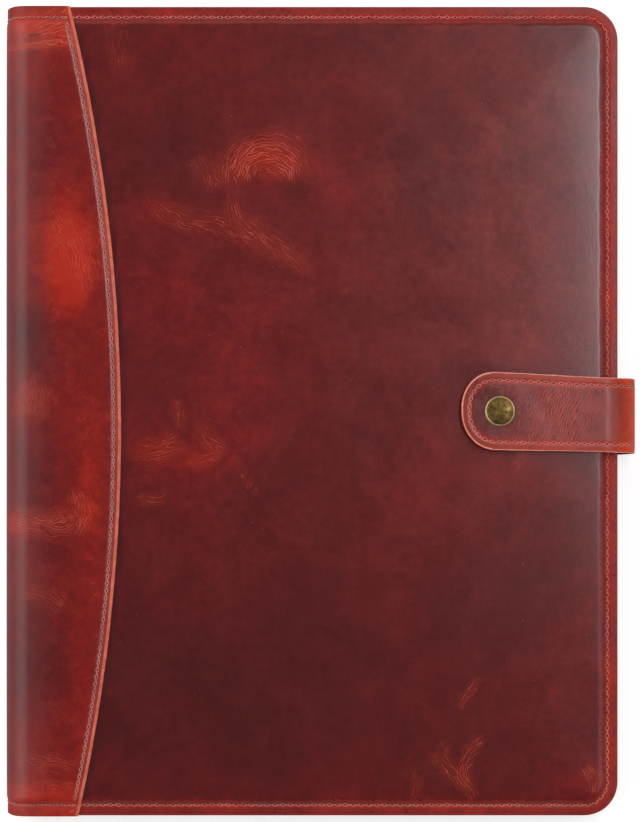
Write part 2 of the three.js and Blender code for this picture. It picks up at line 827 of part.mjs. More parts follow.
const strapWrap = group(
  piece("strap_wrap_leather", strapPly(wrapStations, 0, leatherThickness), strapLeather),
  piece("strap_wrap_lining", strapPly(wrapStations, strapLiningDepth, strapLiningDepth + strapLiningThickness), liningLeather),
);

const strapFlap = group(
  piece("strap_flap_leather", flapLeather(), strapLeather),
  piece("strap_flap_lining", flapLining(), liningLeather),
  piece("strap_thread", strapBand(threadWidth, strapTop - threadThickness, strapTop), thread),
  piece("snap_cap", snapCap(), agedBrass),
  piece("snap_socket", snapSocket(), agedBrass),
  piece("snap_spring", snapSpring(), agedBrass),
);

const notepad = group(
  piece("notepad_backing", padBacking(), greyBoard),
  piece("notepad_sheets", padSheets(), paper),
  piece("notepad_binding", padBinding(), bindingTape),
);

export default group(backCover, spine, frontCover, strapWrap, strapFlap, notepad);
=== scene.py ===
import json
import math
from functools import partial

import bpy
import numpy as np
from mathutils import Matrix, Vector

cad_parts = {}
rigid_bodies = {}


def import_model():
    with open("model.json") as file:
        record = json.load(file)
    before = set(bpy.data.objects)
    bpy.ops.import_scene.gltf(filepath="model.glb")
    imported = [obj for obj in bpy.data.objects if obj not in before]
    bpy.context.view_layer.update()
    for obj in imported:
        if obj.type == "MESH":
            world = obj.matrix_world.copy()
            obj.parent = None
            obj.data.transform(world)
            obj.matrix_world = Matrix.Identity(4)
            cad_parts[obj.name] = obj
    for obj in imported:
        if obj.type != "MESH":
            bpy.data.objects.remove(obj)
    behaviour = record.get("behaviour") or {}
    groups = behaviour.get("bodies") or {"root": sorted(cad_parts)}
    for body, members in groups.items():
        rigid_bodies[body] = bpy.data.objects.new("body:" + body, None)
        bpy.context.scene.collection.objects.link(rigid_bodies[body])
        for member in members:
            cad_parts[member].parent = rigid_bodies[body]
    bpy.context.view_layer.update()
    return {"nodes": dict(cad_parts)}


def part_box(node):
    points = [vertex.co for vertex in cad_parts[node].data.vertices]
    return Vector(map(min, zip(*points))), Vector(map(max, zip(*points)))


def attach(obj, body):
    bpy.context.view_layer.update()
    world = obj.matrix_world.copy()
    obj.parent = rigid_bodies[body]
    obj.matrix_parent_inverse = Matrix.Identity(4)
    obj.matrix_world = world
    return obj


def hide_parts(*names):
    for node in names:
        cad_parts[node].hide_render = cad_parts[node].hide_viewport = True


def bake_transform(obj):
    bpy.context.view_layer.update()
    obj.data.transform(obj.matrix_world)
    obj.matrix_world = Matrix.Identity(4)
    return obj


bpy.ops.object.select_all(action="SELECT")
bpy.ops.object.delete()
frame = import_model()

# A leather padfolio, closed, seen from straight above. Sizes are in millimetres until a mesh is filled.
MM = 0.001

# The covers, as in the part's source. A ply is a pair of depths below the outer face.
SPINE_X = -126.55
FORE_EDGE_X = 119.45
HALF_HEIGHT = 162.5
CLOSED_HEIGHT = 20.4
MIDDLE_Z = CLOSED_HEIGHT / 2
SPINE_RADIUS = MIDDLE_Z
SPINE_CENTRE_X = SPINE_X + SPINE_RADIUS
BEND = SPINE_RADIUS * math.pi / 2
REACH = FORE_EDGE_X - SPINE_CENTRE_X + BEND
CORNER_RADIUS = 13.5
RIM_STEP = 2.2
RIM_WIDTH = 4.7
SHOULDER = 2.9
SPINE_RIM_SHARE = 0.3
OVERLAY = (0.0, 1.2)
LEATHER = (1.3, 2.5)
FOAM = (2.6, 3.4)
FOAM_INSET = 8.0
LINING = (4.8, 5.6)
OVERLAY_RADIUS = 716.0
OVERLAY_CENTRE_X = -796.15
OVERLAY_CENTRE_Y = -7.3
OVERLAY_HALF_HEIGHT = 162.9
OVERLAY_TUCK = 1.2

# Seams: how far in from the edge they run, and how far apart their holes are
EDGE_SEAM, EDGE_PITCH = 4.2, 3.15
OVERLAY_SEAM, OVERLAY_PITCH = 2.9, 2.9
STRAP_SEAM, STRAP_PITCH = 3.3, 3.06
POCKET_SEAM, POCKET_PITCH = 1.7, 3.2
SLEEVE_SEAM = 1.3

# The strap and its press stud
STRAP_TOP = 24.5
STRAP_RADIUS = STRAP_TOP / 2
STRAP_CENTRE_X = 114.30
STRAP_TIP_X = 56.65
SEWN_END_X = 57.45
STRAP_FLAT = STRAP_CENTRE_X - STRAP_TIP_X
STRAP_BEND = math.pi * STRAP_RADIUS
STRAP_MIDDLE = STRAP_FLAT + STRAP_BEND / 2
STRAP_END = STRAP_FLAT + STRAP_BEND + STRAP_CENTRE_X - SEWN_END_X
STRAP_HALF_WIDTH = 15.65
STRAP_TAPER = 0.65
TIP_LENGTH = 13.0
TIP_HALF_WIDTH = 14.65
TIP_INSET = 13.5
SQUARE_SIDES = 6.0
STRAP_LEATHER = (0.0, 1.2)
STRAP_LINING = (1.3, 2.2)
STRAP_SKEW = -0.0346
STUD_INSET = 15.4
STUD_X = STRAP_TIP_X + STUD_INSET


def camera():
    """The camera looks straight down, as the photograph does."""
    lens = bpy.data.cameras.new("camera")
    lens.lens = 435.9
    lens.sensor_width = 36
    eye = bpy.data.objects.new("camera", lens)
    eye.location = (-0.00018, 0.00006, 4.018)
    bpy.context.scene.collection.objects.link(eye)
    bpy.context.scene.camera = eye


camera()
bpy.context.scene.view_settings.view_transform = "Standard"


# Shaping

def smooth(t):
    t = np.clip(t, 0, 1)
    return t * t * (3 - 2 * t)


def bell(x, middle, width, power=2):
    """1 at the middle, falling to about a third at one width from it. A higher power has steeper sides."""
    return np.exp(-(((x - middle) / width) ** power))


def ripple(t, seed):
    """An uneven wave between about -1 and 1, the same each run."""
    return (
        np.sin(t * 1.0 + seed * 1.7) * 0.45
        + np.sin(t * 1.93 + seed * 4.1) * 0.3
        + np.sin(t * 3.37 + seed * 2.3) * 0.25
    )


def border(inset, along):
    """How far the sewn border's step shows: 1 on the border, 0 on the padded panel. Its foot is puckered."""
    pucker = 0.32 * ripple(along / 2.1, 3.0) + 0.2 * ripple(along / 7.0, 1.0)
    t = np.clip((inset + pucker - RIM_WIDTH) / SHOULDER, 0, 1)
    return 1 - (1 - (1 - t) ** 2) ** 0.8


def sink(u, y, inset):
    """Depth that the border, the panel's crown, the spine and the hide's own unevenness add to a ply."""
    bend = SPINE_RIM_SHARE + (1 - SPINE_RIM_SHARE) * smooth(u / BEND)
    step = border(inset, u + y)
    past_rim = np.maximum(inset - 6, 0)
    crown = 0.2 * np.exp(-past_rim / 9) + 0.4 * np.exp(-past_rim / 38)
    eased = 0.45 * np.exp(-np.maximum(u - BEND, 0) / 9)
    uneven = 0.035 * ripple(u / 19 + y / 43, 5.0) + 0.035 * ripple(y / 21 - u / 53, 2.0)
    return bend * (RIM_STEP * step + (crown + eased + uneven * smooth(inset / 20)) * (1 - step))


def seam_groove(inset, at, depth=0.3, reach=0.5):
    return depth * bell(inset, at, reach)


def rounded(inset, radius):
    """Drop of a cut edge that has been rubbed round."""
    t = np.clip(inset / radius, 0, 1)
    return radius * (1 - np.sqrt(1 - (1 - t) ** 2))


def together(*values):
    return np.broadcast_arrays(*(np.asarray(v, float) for v in values))


def level(x, y, z):
    return np.stack(together(x, y, z), -1)


def cover_place(u, y, depth, side=1):
    """A point of a cover: u runs from the middle of the spine to the fore-edge along its outer face. The
    spine's ends are drawn in a little."""
    u, y, depth = together(u, y, depth)
    angle = np.minimum(u, BEND) / SPINE_RADIUS
    y = y * (1 - 0.009 * bell(u, 0, 5.5))
    x = SPINE_CENTRE_X - np.cos(angle) * (SPINE_RADIUS - depth) + np.maximum(u - BEND, 0)
    z = MIDDLE_Z + side * np.sin(angle) * (SPINE_RADIUS - depth)
    return np.stack([x, y, z], -1)


def strap_place(s, across, depth):
    """A point of the strap: s runs from its tip over the fore-edge to the end that is sewn on."""
    s, across, depth = together(s, across, depth)
    angle = np.clip((s - STRAP_FLAT) / STRAP_RADIUS, 0, math.pi)
    x = STRAP_CENTRE_X + np.sin(angle) * (STRAP_RADIUS - depth)
    x = x + np.minimum(s - STRAP_FLAT, 0) - np.maximum(s - STRAP_FLAT - STRAP_BEND, 0)
    z = STRAP_RADIUS + np.cos(angle) * (STRAP_RADIUS - depth)
    return np.stack([x, across + STRAP_SKEW * (s - STUD_INSET), z], -1)


def overlay_edge(y, inset=0.0):
    """Where the overlay's curved edge is, as a distance u round the cover."""
    x = OVERLAY_CENTRE_X + np.sqrt((OVERLAY_RADIUS - inset) ** 2 - (y - OVERLAY_CENTRE_Y) ** 2)
    return BEND + x - SPINE_CENTRE_X


# Steps in from an edge, close together where it is sewn and stepped
EDGE_STEPS = [0, 0.12, 0.3, 0.6, 1.1, 1.8, 2.5, 3.1, 3.5, 3.85, 4.2, 4.55, 4.85, 5.15, 5.5, 5.9, 6.3, 6.8,
              7.4, 8.1, 9.0, 10.1, 11.6, CORNER_RADIUS]
LINING_STEPS = [0, 0.15, 0.4, 1.0, 2.0, 3.0, 3.7, 4.2, 4.7, 5.5, 7, 9, 11, CORNER_RADIUS]
FOAM_STEPS = [0, 0.5, 1.5, 3, 5.5]
OVERLAY_EDGE_STEPS = [9, 7.5, 6.2, 5.2, 4.4, 3.8, 3.35, 2.9, 2.45, 2.1, 1.8, 1.5, OVERLAY_TUCK]
STRAP_STEPS = [0, 0.12, 0.32, 0.6, 1.2, 1.8, 2.4, 2.9, 3.3, 3.7, 4.2, 5.0, 6.0, 7.2, 8.6, 10.2, 11.8,
               TIP_LENGTH]
POCKET_STEPS = [0, 0.12, 0.35, 0.8, 1.3, 1.7, 2.2, 3.0]
SLEEVE_STEPS = [0, 0.12, 0.35, 0.8, 1.2, 1.6, 2.0, 2.4, 2.8, 3.2, 3.6, 4.2, 5.5, 7.5]


def spread(start, end, pitch):
    """Even steps between two places, without the first and last."""
    return list(np.linspace(start, end, max(2, round(abs(end - start) / pitch)) + 1)[1:-1])


def rings(a, b, radius):
    """For a net whose points are a and b in from two edges that meet: which of them are in the corner, and
    each one's distance and angle from the corner's middle once the squares there are bent into rings."""
    near = np.minimum(a, b)
    corner = (a < radius) & (b < radius)
    ring = np.where(corner, radius - near, 1.0)
    t = np.where(corner, (np.maximum(a, b) - near) / np.maximum(ring, 1e-6), 0)
    return corner, ring, np.where(a >= b, math.pi / 4 * (1 + t), math.pi / 4 * (1 - t))


def from_both_ends(half, steps, pitch):
    """Places from -half to half, by the given steps near both ends."""
    upper = [half - s for s in steps[::-1]]
    return [-v for v in upper[::-1]] + spread(-upper[0], upper[0], pitch) + upper


def cover_net(pitch, steps, outset=0.0):
    """u, y and inset at each crossing of a net over half a cover, with its rings round the corners."""
    reach = REACH - outset
    half = HALF_HEIGHT - outset
    radius = steps[-1]
    us = [0, 0.35, 0.8] + spread(0.8, BEND + 4, min(pitch, 1.3)) + [BEND + 4]
    us += spread(BEND + 4, reach - radius, pitch) + [reach - s for s in steps[::-1]]
    u, y = np.meshgrid(us, from_both_ends(half, steps, pitch))
    a, b = reach - u, half - np.abs(y)
    corner, ring, angle = rings(a, b, radius)
    u = np.where(corner, reach - radius + ring * np.cos(angle), u)
    y = np.where(corner, np.sign(y) * (half - radius + ring * np.sin(angle)), y)
    return u, y, np.minimum(a, b)


def flat_net(low, high, steps, pitch, round_top=True):
    """x, y, inset from the nearest edge and from the nearest sewn one, over a sheet with round corners."""
    radius = steps[-1]

    def places(k):
        middle = spread(low[k] + radius, high[k] - radius, pitch)
        return [low[k] + s for s in steps] + middle + [high[k] - s for s in steps[::-1]]

    x, y = np.meshgrid(places(0), places(1))
    mid_x, mid_y = (low[0] + high[0]) / 2, (low[1] + high[1]) / 2
    half_x, half_y = (high[0] - low[0]) / 2, (high[1] - low[1]) / 2
    a = half_x - np.abs(x - mid_x)
    b = half_y - np.abs(y - mid_y)
    corner, ring, angle = rings(a, b, radius)
    corner = corner & (round_top | (y < mid_y))
    x = np.where(corner, mid_x + np.sign(x - mid_x) * (half_x - radius + ring * np.cos(angle)), x)
    y = np.where(corner, mid_y + np.sign(y - mid_y) * (half_y - radius + ring * np.sin(angle)), y)
    return x, y, np.minimum(a, b), np.minimum(a, y - low[1])


def strap_half_width(s):
    return STRAP_HALF_WIDTH - STRAP_TAPER * smooth((s - TIP_LENGTH) / (STRAP_FLAT - TIP_LENGTH))


def strap_net(start, end, round_start, pitch=0.9):
    """s, across and inset over a stretch of the strap whose first end is round or square."""
    share = np.array(STRAP_STEPS) / TIP_LENGTH
    if round_start:
        ss = np.concatenate([share * TIP_LENGTH, spread(TIP_LENGTH, end, pitch), [end]]) + start
    else:
        ss = np.concatenate([[start], spread(start, end, pitch), [end]])
    half = STRAP_HALF_WIDTH
    block = TIP_HALF_WIDTH if round_start else SQUARE_SIDES
    side = share * block
    vs = np.concatenate([-half + side, spread(-half + block, half - block, pitch), (half - side)[::-1]])
    s, v = np.meshgrid(ss, vs)
    inset = half - np.abs(v)
    if round_start:
        a, b = (s - start) / TIP_LENGTH, inset / block
        corner, ring, angle = rings(a, b, 1)
        s = np.where(corner, start + TIP_LENGTH - ring * TIP_LENGTH * np.cos(angle), s)
        v = np.where(corner, np.sign(v) * (half - block + ring * block * np.sin(angle)), v)
        inset = np.where(corner, np.minimum(a, b) * TIP_INSET, np.minimum(inset, np.maximum(s - start, 0)))
    return s, v * strap_half_width(s) / half, inset


def arc(middle, radius, start, end, count):
    """Points on part of a circle, without its first. Angles are from the top towards the right."""
    return [(middle[0] + radius * math.sin(a), middle[1] + radius * math.cos(a))
            for a in np.linspace(start, end, count)[1:]]


# Making meshes

def shell(name, outer, inner, turned_over=False):
    """A closed sheet: a grid primitive with a wall. The outer face's points come first, then the inner's."""
    rows, columns = outer.shape[:2]
    bpy.ops.mesh.primitive_grid_add(x_subdivisions=columns - 1, y_subdivisions=rows - 1, size=2)
    piece = bpy.context.object
    piece.name = piece.data.name = name
    wall = piece.modifiers.new("wall", "SOLIDIFY")
    wall.thickness = 0.1
    wall.offset = -1
    bpy.ops.object.modifier_apply(modifier=wall.name)
    places = np.concatenate([outer.reshape(-1, 3), inner.reshape(-1, 3)]) * MM
    piece.data.vertices.foreach_set("co", places.ravel())
    piece["rim_faces"] = 2 * (rows - 1) + 2 * (columns - 1)
    if turned_over:
        piece.data.flip_normals()
    return piece


def sheet_of(name, u, y, outer_depth, inner_depth, place, turned_over=False):
    return shell(name, place(u, y, outer_depth), place(u, y, inner_depth), turned_over)


def strip(name, path, rows, half, place):
    """A strip with a face at half its thickness to each side of a path, and each point's place across it."""
    path = np.array(path)
    ahead = np.gradient(path, axis=0)
    normal = unit(np.stack([ahead[:, 1], -ahead[:, 0]], -1))
    across = np.repeat(rows[:, None], len(path), 1)
    outer = place(across, path[:, 0] + normal[:, 0] * half, path[:, 1] + normal[:, 1] * half)
    inner = place(across, path[:, 0] - normal[:, 0] * half, path[:, 1] - normal[:, 1] * half)
    piece = shell(name, outer, inner)
    bpy.ops.object.mode_set(mode="EDIT")
    bpy.ops.mesh.select_all(action="SELECT")
    bpy.ops.mesh.normals_make_consistent(inside=False)
    bpy.ops.object.mode_set(mode="OBJECT")
    return piece, across


def dress(piece, outer_finish, edge_finish, inner_finish, bare=None):
    """Gives a shell its finishes: on its face, its cut edge and its flesh side. bare is where the face, too,
    shows its cut fibre."""
    for finish in (outer_finish, edge_finish, inner_finish):
        piece.data.materials.append(finish)
    polygons = len(piece.data.polygons)
    face = (polygons - piece["rim_faces"]) // 2
    slots = np.ones(polygons, np.int32)
    slots[:face] = 0
    slots[face:2 * face] = 2
    if bare is not None:
        corners = bare[:-1, :-1] & bare[1:, :-1] & bare[:-1, 1:] & bare[1:, 1:]
        slots[:face][corners.ravel()] = 1
    piece.data.polygons.foreach_set("material_index", slots)
    shade(piece)


def shade(piece, crease_angle=35):
    bpy.ops.object.select_all(action="DESELECT")
    piece.select_set(True)
    bpy.context.view_layer.objects.active = piece
    bpy.ops.object.shade_smooth_by_angle(angle=math.radians(crease_angle))


def mark(piece, name, values):
    """Keeps a number or vector at each point of a piece, for its material to read."""
    values = np.asarray(values, np.float32)
    kind, key = ("FLOAT", "value") if values.ndim == 1 else ("FLOAT_VECTOR", "vector")
    layer = piece.data.attributes.new(name, kind, "POINT")
    layer.data.foreach_set(key, values.ravel())


def points_of(piece):
    return np.array([v.co for v in piece.data.vertices])


def unit(vectors):
    return vectors / np.linalg.norm(vectors, axis=-1, keepdims=True)


def box_of(node):
    """The low and high corner of a node of the CAD, in millimetres."""
    return [np.array(v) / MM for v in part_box(node)]


# Marks on the hide

def trail(u, y, points, reach, fade=0.2, peak=0.5, dim=1.0):
    """Lines that run along a path: how strong, how far across it, how far along and how far away in reaches.
    Away from its peak, given as a share of its length, they are dim."""
    points = np.array(points, float)
    best = np.full(u.shape, 1e9)
    across = np.zeros(u.shape)
    along = np.zeros(u.shape)
    length = 0.0
    total_length = np.sum(np.linalg.norm(np.diff(points, axis=0), axis=1))
    for start, end in zip(points[:-1], points[1:]):
        step = end - start
        size = np.linalg.norm(step)
        du, dy = u - start[0], y - start[1]
        t = np.clip((du * step[0] + dy * step[1]) / size**2, 0, 1)
        off = np.hypot(du - t * step[0], dy - t * step[1])
        sign = np.sign(step[0] * dy - step[1] * du)
        nearer = off < best
        best = np.where(nearer, off, best)
        across = np.where(nearer, sign * off, across)
        along = np.where(nearer, length + t * size, along)
        length += size
    ends = smooth(along / (fade * total_length)) * smooth((total_length - along) / (fade * total_length))
    ends = ends * (dim + (1 - dim) * bell(along / total_length, peak, 0.22))
    return np.exp(-((best / reach) ** 2)) * ends, across, along, best / reach


def around(u, y, centre, start, end):
    """Each point's distance from a centre, its angle from the middle of a span, and half the span."""
    du, dy = u - centre[0], y - centre[1]
    angle = (np.degrees(np.arctan2(dy, du)) - (start + end) / 2 + 180) % 360 - 180
    return np.hypot(du, dy), angle, (end - start) / 2


def arch(u, y, centre, radius, reach, start, end, fade):
    """Lines that run round a centre, between two angles in degrees."""
    distance, angle, half = around(u, y, centre, start, end)
    strength = bell(distance, radius, reach) * smooth((half - np.abs(angle)) / fade + 0.5)
    away = np.hypot((distance - radius) / reach, np.maximum(np.abs(angle) - half, 0) / fade)
    return strength, distance, np.radians(angle) * radius, away


def fan(u, y, centre, near, far, start, end, fade):
    """Lines that run outwards from a centre, between two angles in degrees."""
    distance, angle, half = around(u, y, centre, start, end)
    strength = smooth((half - np.abs(angle)) / fade + 0.5) * smooth((distance - near) / 3 + 0.5)
    strength = strength * smooth((far - distance) / 6 + 0.5)
    away = np.hypot(np.maximum(np.abs(angle) - half, 0) / fade, np.maximum(distance - far, 0) / 6)
    return strength, np.radians(angle) * (near + far) / 2, distance, away


def creases(u, y, marks):
    """Each point's place across and along the lines of the nearest mark, and how strong they are there. Marks
    that are kept together lie apart, so that lines fade before they meet those of the next."""
    nearest = np.full(u.shape, 1e9)
    across, along, strength = np.zeros(u.shape), np.zeros(u.shape), np.zeros(u.shape)
    for kind, weight, details in marks:
        found, off, run, away = kind(u, y, **details)
        found = np.clip((found - 0.07) / 0.93, 0, 1) * weight
        nearer = away < nearest
        across = np.where(nearer, off, across)
        along = np.where(nearer, run, along)
        strength = np.where(nearer, found, strength)
        nearest = np.minimum(nearest, away)
    return across, along, strength


def blots(u, y, places):
    """Soft patches that are lighter or darker than the rest of the hide."""
    total_tone = np.zeros(u.shape)
    for (x, at_y), (wide, high), amount in places:
        total_tone += amount * np.exp(-(((u - x) / wide) ** 2) - (((y - at_y) / high) ** 2))
    return total_tone


def mark_hide(piece, u, y, cut_at, worn=0.0, marks=(), tones=(), grime_and_painted_shadow=0.0, dull=0.0, from_above=False):
    """Keeps on both faces of a sheet where each point is on its hide, and what marks it has there. Each piece
    is cut at its own level, the inner face at one beside it. Marks from above are placed by x, not by u."""
    def both(values):
        values = np.broadcast_to(values, u.shape).ravel()
        return np.concatenate([values, values])

    flat = both(float(cut_at))
    levels = flat + 1.3 * (np.arange(2 * u.size) >= u.size)
    mark(piece, "hide_place", np.stack([both(u), both(y), levels], -1))
    along_cover = u - BEND + SPINE_CENTRE_X if from_above else u
    for layer, group in zip(("first", "second"), marks):
        across, along, strength = creases(along_cover, y, group)
        mark(piece, f"{layer}_crease_line", np.stack([both(across), both(along), flat], -1))
        mark(piece, f"{layer}_crease", both(strength))
    # The tone also carries any painted shadow that is passed in.
    mark(piece, "tone", both(blots(along_cover, y, tones) + grime_and_painted_shadow))
    mark(piece, "worn", both(np.clip(worn, 0, 1)))
    mark(piece, "dull", both(dull))


def lines(weight, reach, *points, **options):
    """A bundle of creases that runs through some points."""
    return trail, weight, dict(points=points, reach=reach, **options)


def arched(weight, centre, radius, reach, start, end, fade):
    return arch, weight, dict(centre=centre, radius=radius, reach=reach, start=start, end=end, fade=fade)


def fanned(weight, centre, near, far, start, end, fade=12):
    return fan, weight, dict(centre=centre, near=near, far=far, start=start, end=end, fade=fade)


FRONT_MARKS = [
    [
        arched(0.95, (-22.5, 92.5), 11, 7.5, 5, 178, 45),
        lines(0.55, 4.6, (-76, 95), (-65, 82), (-53, 76), (-42, 75), (-29, 69), (-12, 61), (8, 52),
              fade=0.3, peak=0.3, dim=0.4),
        lines(0.22, 5.0, (-84, 158), (-82, 147), (-78, 136)),
        lines(0.14, 3.0, (20, 98), (26, 92), (29, 86)),
        lines(0.5, 5.4, (-77, -18), (-67, -16), (-60, -13), (-55, -7), fade=0.35),
        lines(0.5, 2.6, (-57, -21), (-50, -20.5), (-44, -18), (-38, -16.5), fade=0.3),
        lines(0.45, 0.9, (-38, -16.5), (-32, -23), (-25, -35)),
        lines(0.7, 1.7, (-76, -33), (-69, -36), (-60, -34), fade=0.35),
        lines(0.65, 1.7, (54.5, -122), (59, -114), (65, -106), fade=0.35),
        lines(0.6, 2.7, (43, -136), (49, -141), (55, -147), (64, -158)),
        lines(0.45, 1.8, (36, -143), (39, -149), (37, -157)),
        lines(0.6, 4.0, (107, -141), (112, -149), (110, -155)),
        lines(0.5, 2.0, (86, -12), (82, -18), (77, -24), fade=0.35),
    ],
    [
        lines(0.5, 4.6, (-35, 98), (-36, 87), (-33, 77), (-22, 69), (-8, 60), (4, 50),
              fade=0.3, peak=0.45, dim=0.6),
        lines(0.35, 5.0, (-50, 104), (-44, 96), (-40, 88)),
        lines(0.45, 2.4, (-59, 7), (-56, -1), (-55, -10), fade=0.3),
        lines(0.45, 3.2, (-53, -3), (-45, -11), (-36, -18), fade=0.3),
        lines(0.6, 2.5, (66, -130), (60, -137), (57, -144), (61, -154)),
        lines(0.6, 1.1, (48, -133), (51, -137), (53, -141)),
    ],
]
FRONT_TONES = [
    ((-60, -120), (60, 60), -0.34),
    ((20, -110), (80, 60), -0.24),
    ((-60, 120), (30, 40), -0.12),
    ((-30, 40), (44, 36), 0.16),
    ((-50, 55), (30, 30), 0.1),
    ((-68, -16), (14, 8), 0.4),
    ((-50, -20), (9, 4), 0.25),
    ((-22, 101), (15, 9), 0.45),
    ((-10, 90), (7, 6), -0.25),
    ((-66, 80), (12, 7), 0.35),
    ((108, -150), (12, 10), 0.35),
    ((100, 40), (30, 90), 0.12),
]
OVERLAY_MARKS = [
    [
        fanned(0.85, (6, 144.5), 6, 27, 6, 44, fade=8),
        lines(0.5, 6.5, (22, 80), (31, 70), (37, 58), (42, 46)),
        lines(0.6, 6.0, (13, 16), (17, 6), (14, -6), fade=0.35),
        lines(0.75, 5.0, (2, -46), (14, -44), (26, -46), (36, -42)),
        lines(0.5, 4.0, (12, -72), (21, -74), (31, -79)),
        lines(0.5, 4.0, (6, -140), (20, -141), (36, -143)),
    ],
    [
        lines(1.0, 1.3, (-4, 146.2), (10, 146.4), (22, 147.6), (36, 148), fade=0.1),
        lines(0.6, 4.0, (32, -30), (37, -40), (34, -52)),
        lines(0.4, 3.0, (8, -151), (22, -150), (36, -151)),
    ],
]
OVERLAY_TONES = [
    ((31, 60), (8, 17), 0.66),
    ((29, 66), (13, 26), 0.3),
    ((40, -34), (5, 24), 0.3),
    ((38, -112), (5, 24), 0.25),
    ((15, 6), (9, 14), 0.28),
    ((26, 153), (26, 6), 0.4),
    ((14, 156), (6, 3), 1.0),
    ((19, 151), (5, 3), -0.4),
    ((8, -46), (12, 7), 0.35),
    ((20, -155), (30, 6), 0.4),
    ((16, 26), (9, 20), -0.32),
    ((15, -22), (10, 18), -0.28),
    ((18, -95), (14, 22), -0.35),
    ((24, 110), (20, 26), -0.12),
]
BACK_MARKS = [
    [
        arched(0.8, (30, -70), 12, 8, 150, 310, 40),
        lines(0.6, 4.4, (-50, 110), (-30, 96), (-16, 92), (4, 80)),
        lines(0.5, 4.0, (-70, -60), (-52, -66), (-40, -80)),
        fanned(0.7, (80, 124), 3, 22, 190, 260),
    ],
    [
        lines(0.5, 4.0, (90, 40), (98, 20), (96, 4)),
        lines(0.5, 4.0, (-46, 96), (-30, 88), (-24, 74)),
    ],
]
BACK_TONES = [((-40, 80), (50, 50), 0.15), ((40, -90), (60, 50), -0.25), ((60, 90), (40, 50), -0.1)]
BACK_OVERLAY_MARKS = [OVERLAY_MARKS[0][2:4], OVERLAY_MARKS[1][1:]]
BACK_OVERLAY_TONES = [
    ((31, 90), (8, 20), 0.5),
    ((34, -60), (8, 26), 0.55),
    ((16, 20), (9, 30), -0.4),
    ((16, -120), (10, 22), -0.3),
]
STRAP_MARKS = [
    [lines(1.0, 17.0, (45, 40), (42, 8), (38, -10), (33, -40), fade=0.05, dim=0.9)],
    [lines(0.35, 3.0, (10, 9), (18, 12), (27, 7)), lines(0.3, 3.0, (9, -8), (14, -12), (26, -12))],
]
STRAP_TONES = [((12, 0), (16, 12), -0.3), ((50, 0), (20, 18), 0.25)]

# Where each piece is cut from the hide, and its marks and tones
HIDE_CUTS = {"front": (0, FRONT_MARKS, FRONT_TONES), "back": (310, BACK_MARKS, BACK_TONES)}
OVERLAY_CUTS = {"front": (120, OVERLAY_MARKS, OVERLAY_TONES),
                "back": (430, BACK_OVERLAY_MARKS, BACK_OVERLAY_TONES)}
LINING_CUTS = {"front": 60, "back": 360}
STRAP_CUT, STRAP_LINING_CUT = 540, 600
POCKET_CUTS = {"document_pocket": 700, "card_pocket_1": 740, "card_pocket_2": 760, "card_pocket_3": 780}
PEN_LOOP_CUT, SLEEVE_CUT = 800, 860


# Materials

def colour(hex_code):
    """An sRGB colour written as in paint charts, as the linear colour that a shader takes."""
    channels = [int(hex_code[i:i + 2], 16) / 255 for i in (1, 3, 5)]
    return [c / 12.92 if c <= 0.04045 else ((c + 0.055) / 1.055) ** 2.4 for c in channels] + [1.0]


class Finish:
    """The nodes of a material or of the world."""

    def __init__(self, owner):
        owner.use_nodes = True
        self.owner = owner
        self.tree = owner.node_tree
        self.tree.nodes.clear()

    def add(self, kind, inputs=None, output=0, stops=(), **settings):
        """Adds a node with its settings, links and any colour stops, and gives one of its outputs."""
        node = self.tree.nodes.new("ShaderNode" + kind)
        for key, value in settings.items():
            setattr(node, key, value)
        for key, value in (inputs or {}).items():
            if isinstance(value, bpy.types.NodeSocket):
                self.tree.links.new(value, node.inputs[key])
            else:
                node.inputs[key].default_value = value
        if stops:
            elements = node.color_ramp.elements
            while len(elements) < len(stops):
                elements.new(0.5)
            for element, (place, code) in zip(elements, stops):
                element.position = place
                element.color = colour(code)
        return node.outputs[output] if node.outputs else None


# Settings that many nodes share. A range's inputs 1 to 4 are its low and high end, and what they become.
COLOURS = dict(output=2, data_type="RGBA")
RANGE = dict(interpolation_type="SMOOTHSTEP")
TIMES = dict(operation="MULTIPLY")
PLUS = dict(operation="ADD")
MINUS = dict(operation="SUBTRACT")
LARGER = dict(operation="MAXIMUM")


def new_finish(name):
    return Finish(bpy.data.materials.new(name))


def total(f, *terms):
    """The sum of values that are each weighed: (value, weight)."""
    result = None
    for value, weight in terms:
        weighed = f.add("Math", {0: value, 1: weight}, **TIMES)
        result = weighed if result is None else f.add("Math", {0: result, 1: weighed}, **PLUS)
    return result


def surface(f, base, roughness, bump=None, **inputs):
    """Ends a finish with its skin, and gives the material."""
    inputs = {key.replace("_", " "): value for key, value in inputs.items()}
    if bump is not None:
        height, rise_mm, strength = bump
        inputs["Normal"] = f.add("Bump", {"Height": height, "Distance": rise_mm * MM, "Strength": strength})
    skin = f.add("BsdfPrincipled", {"Base Color": base, "Roughness": roughness, **inputs})
    f.add("OutputMaterial", {"Surface": skin})
    return f.owner


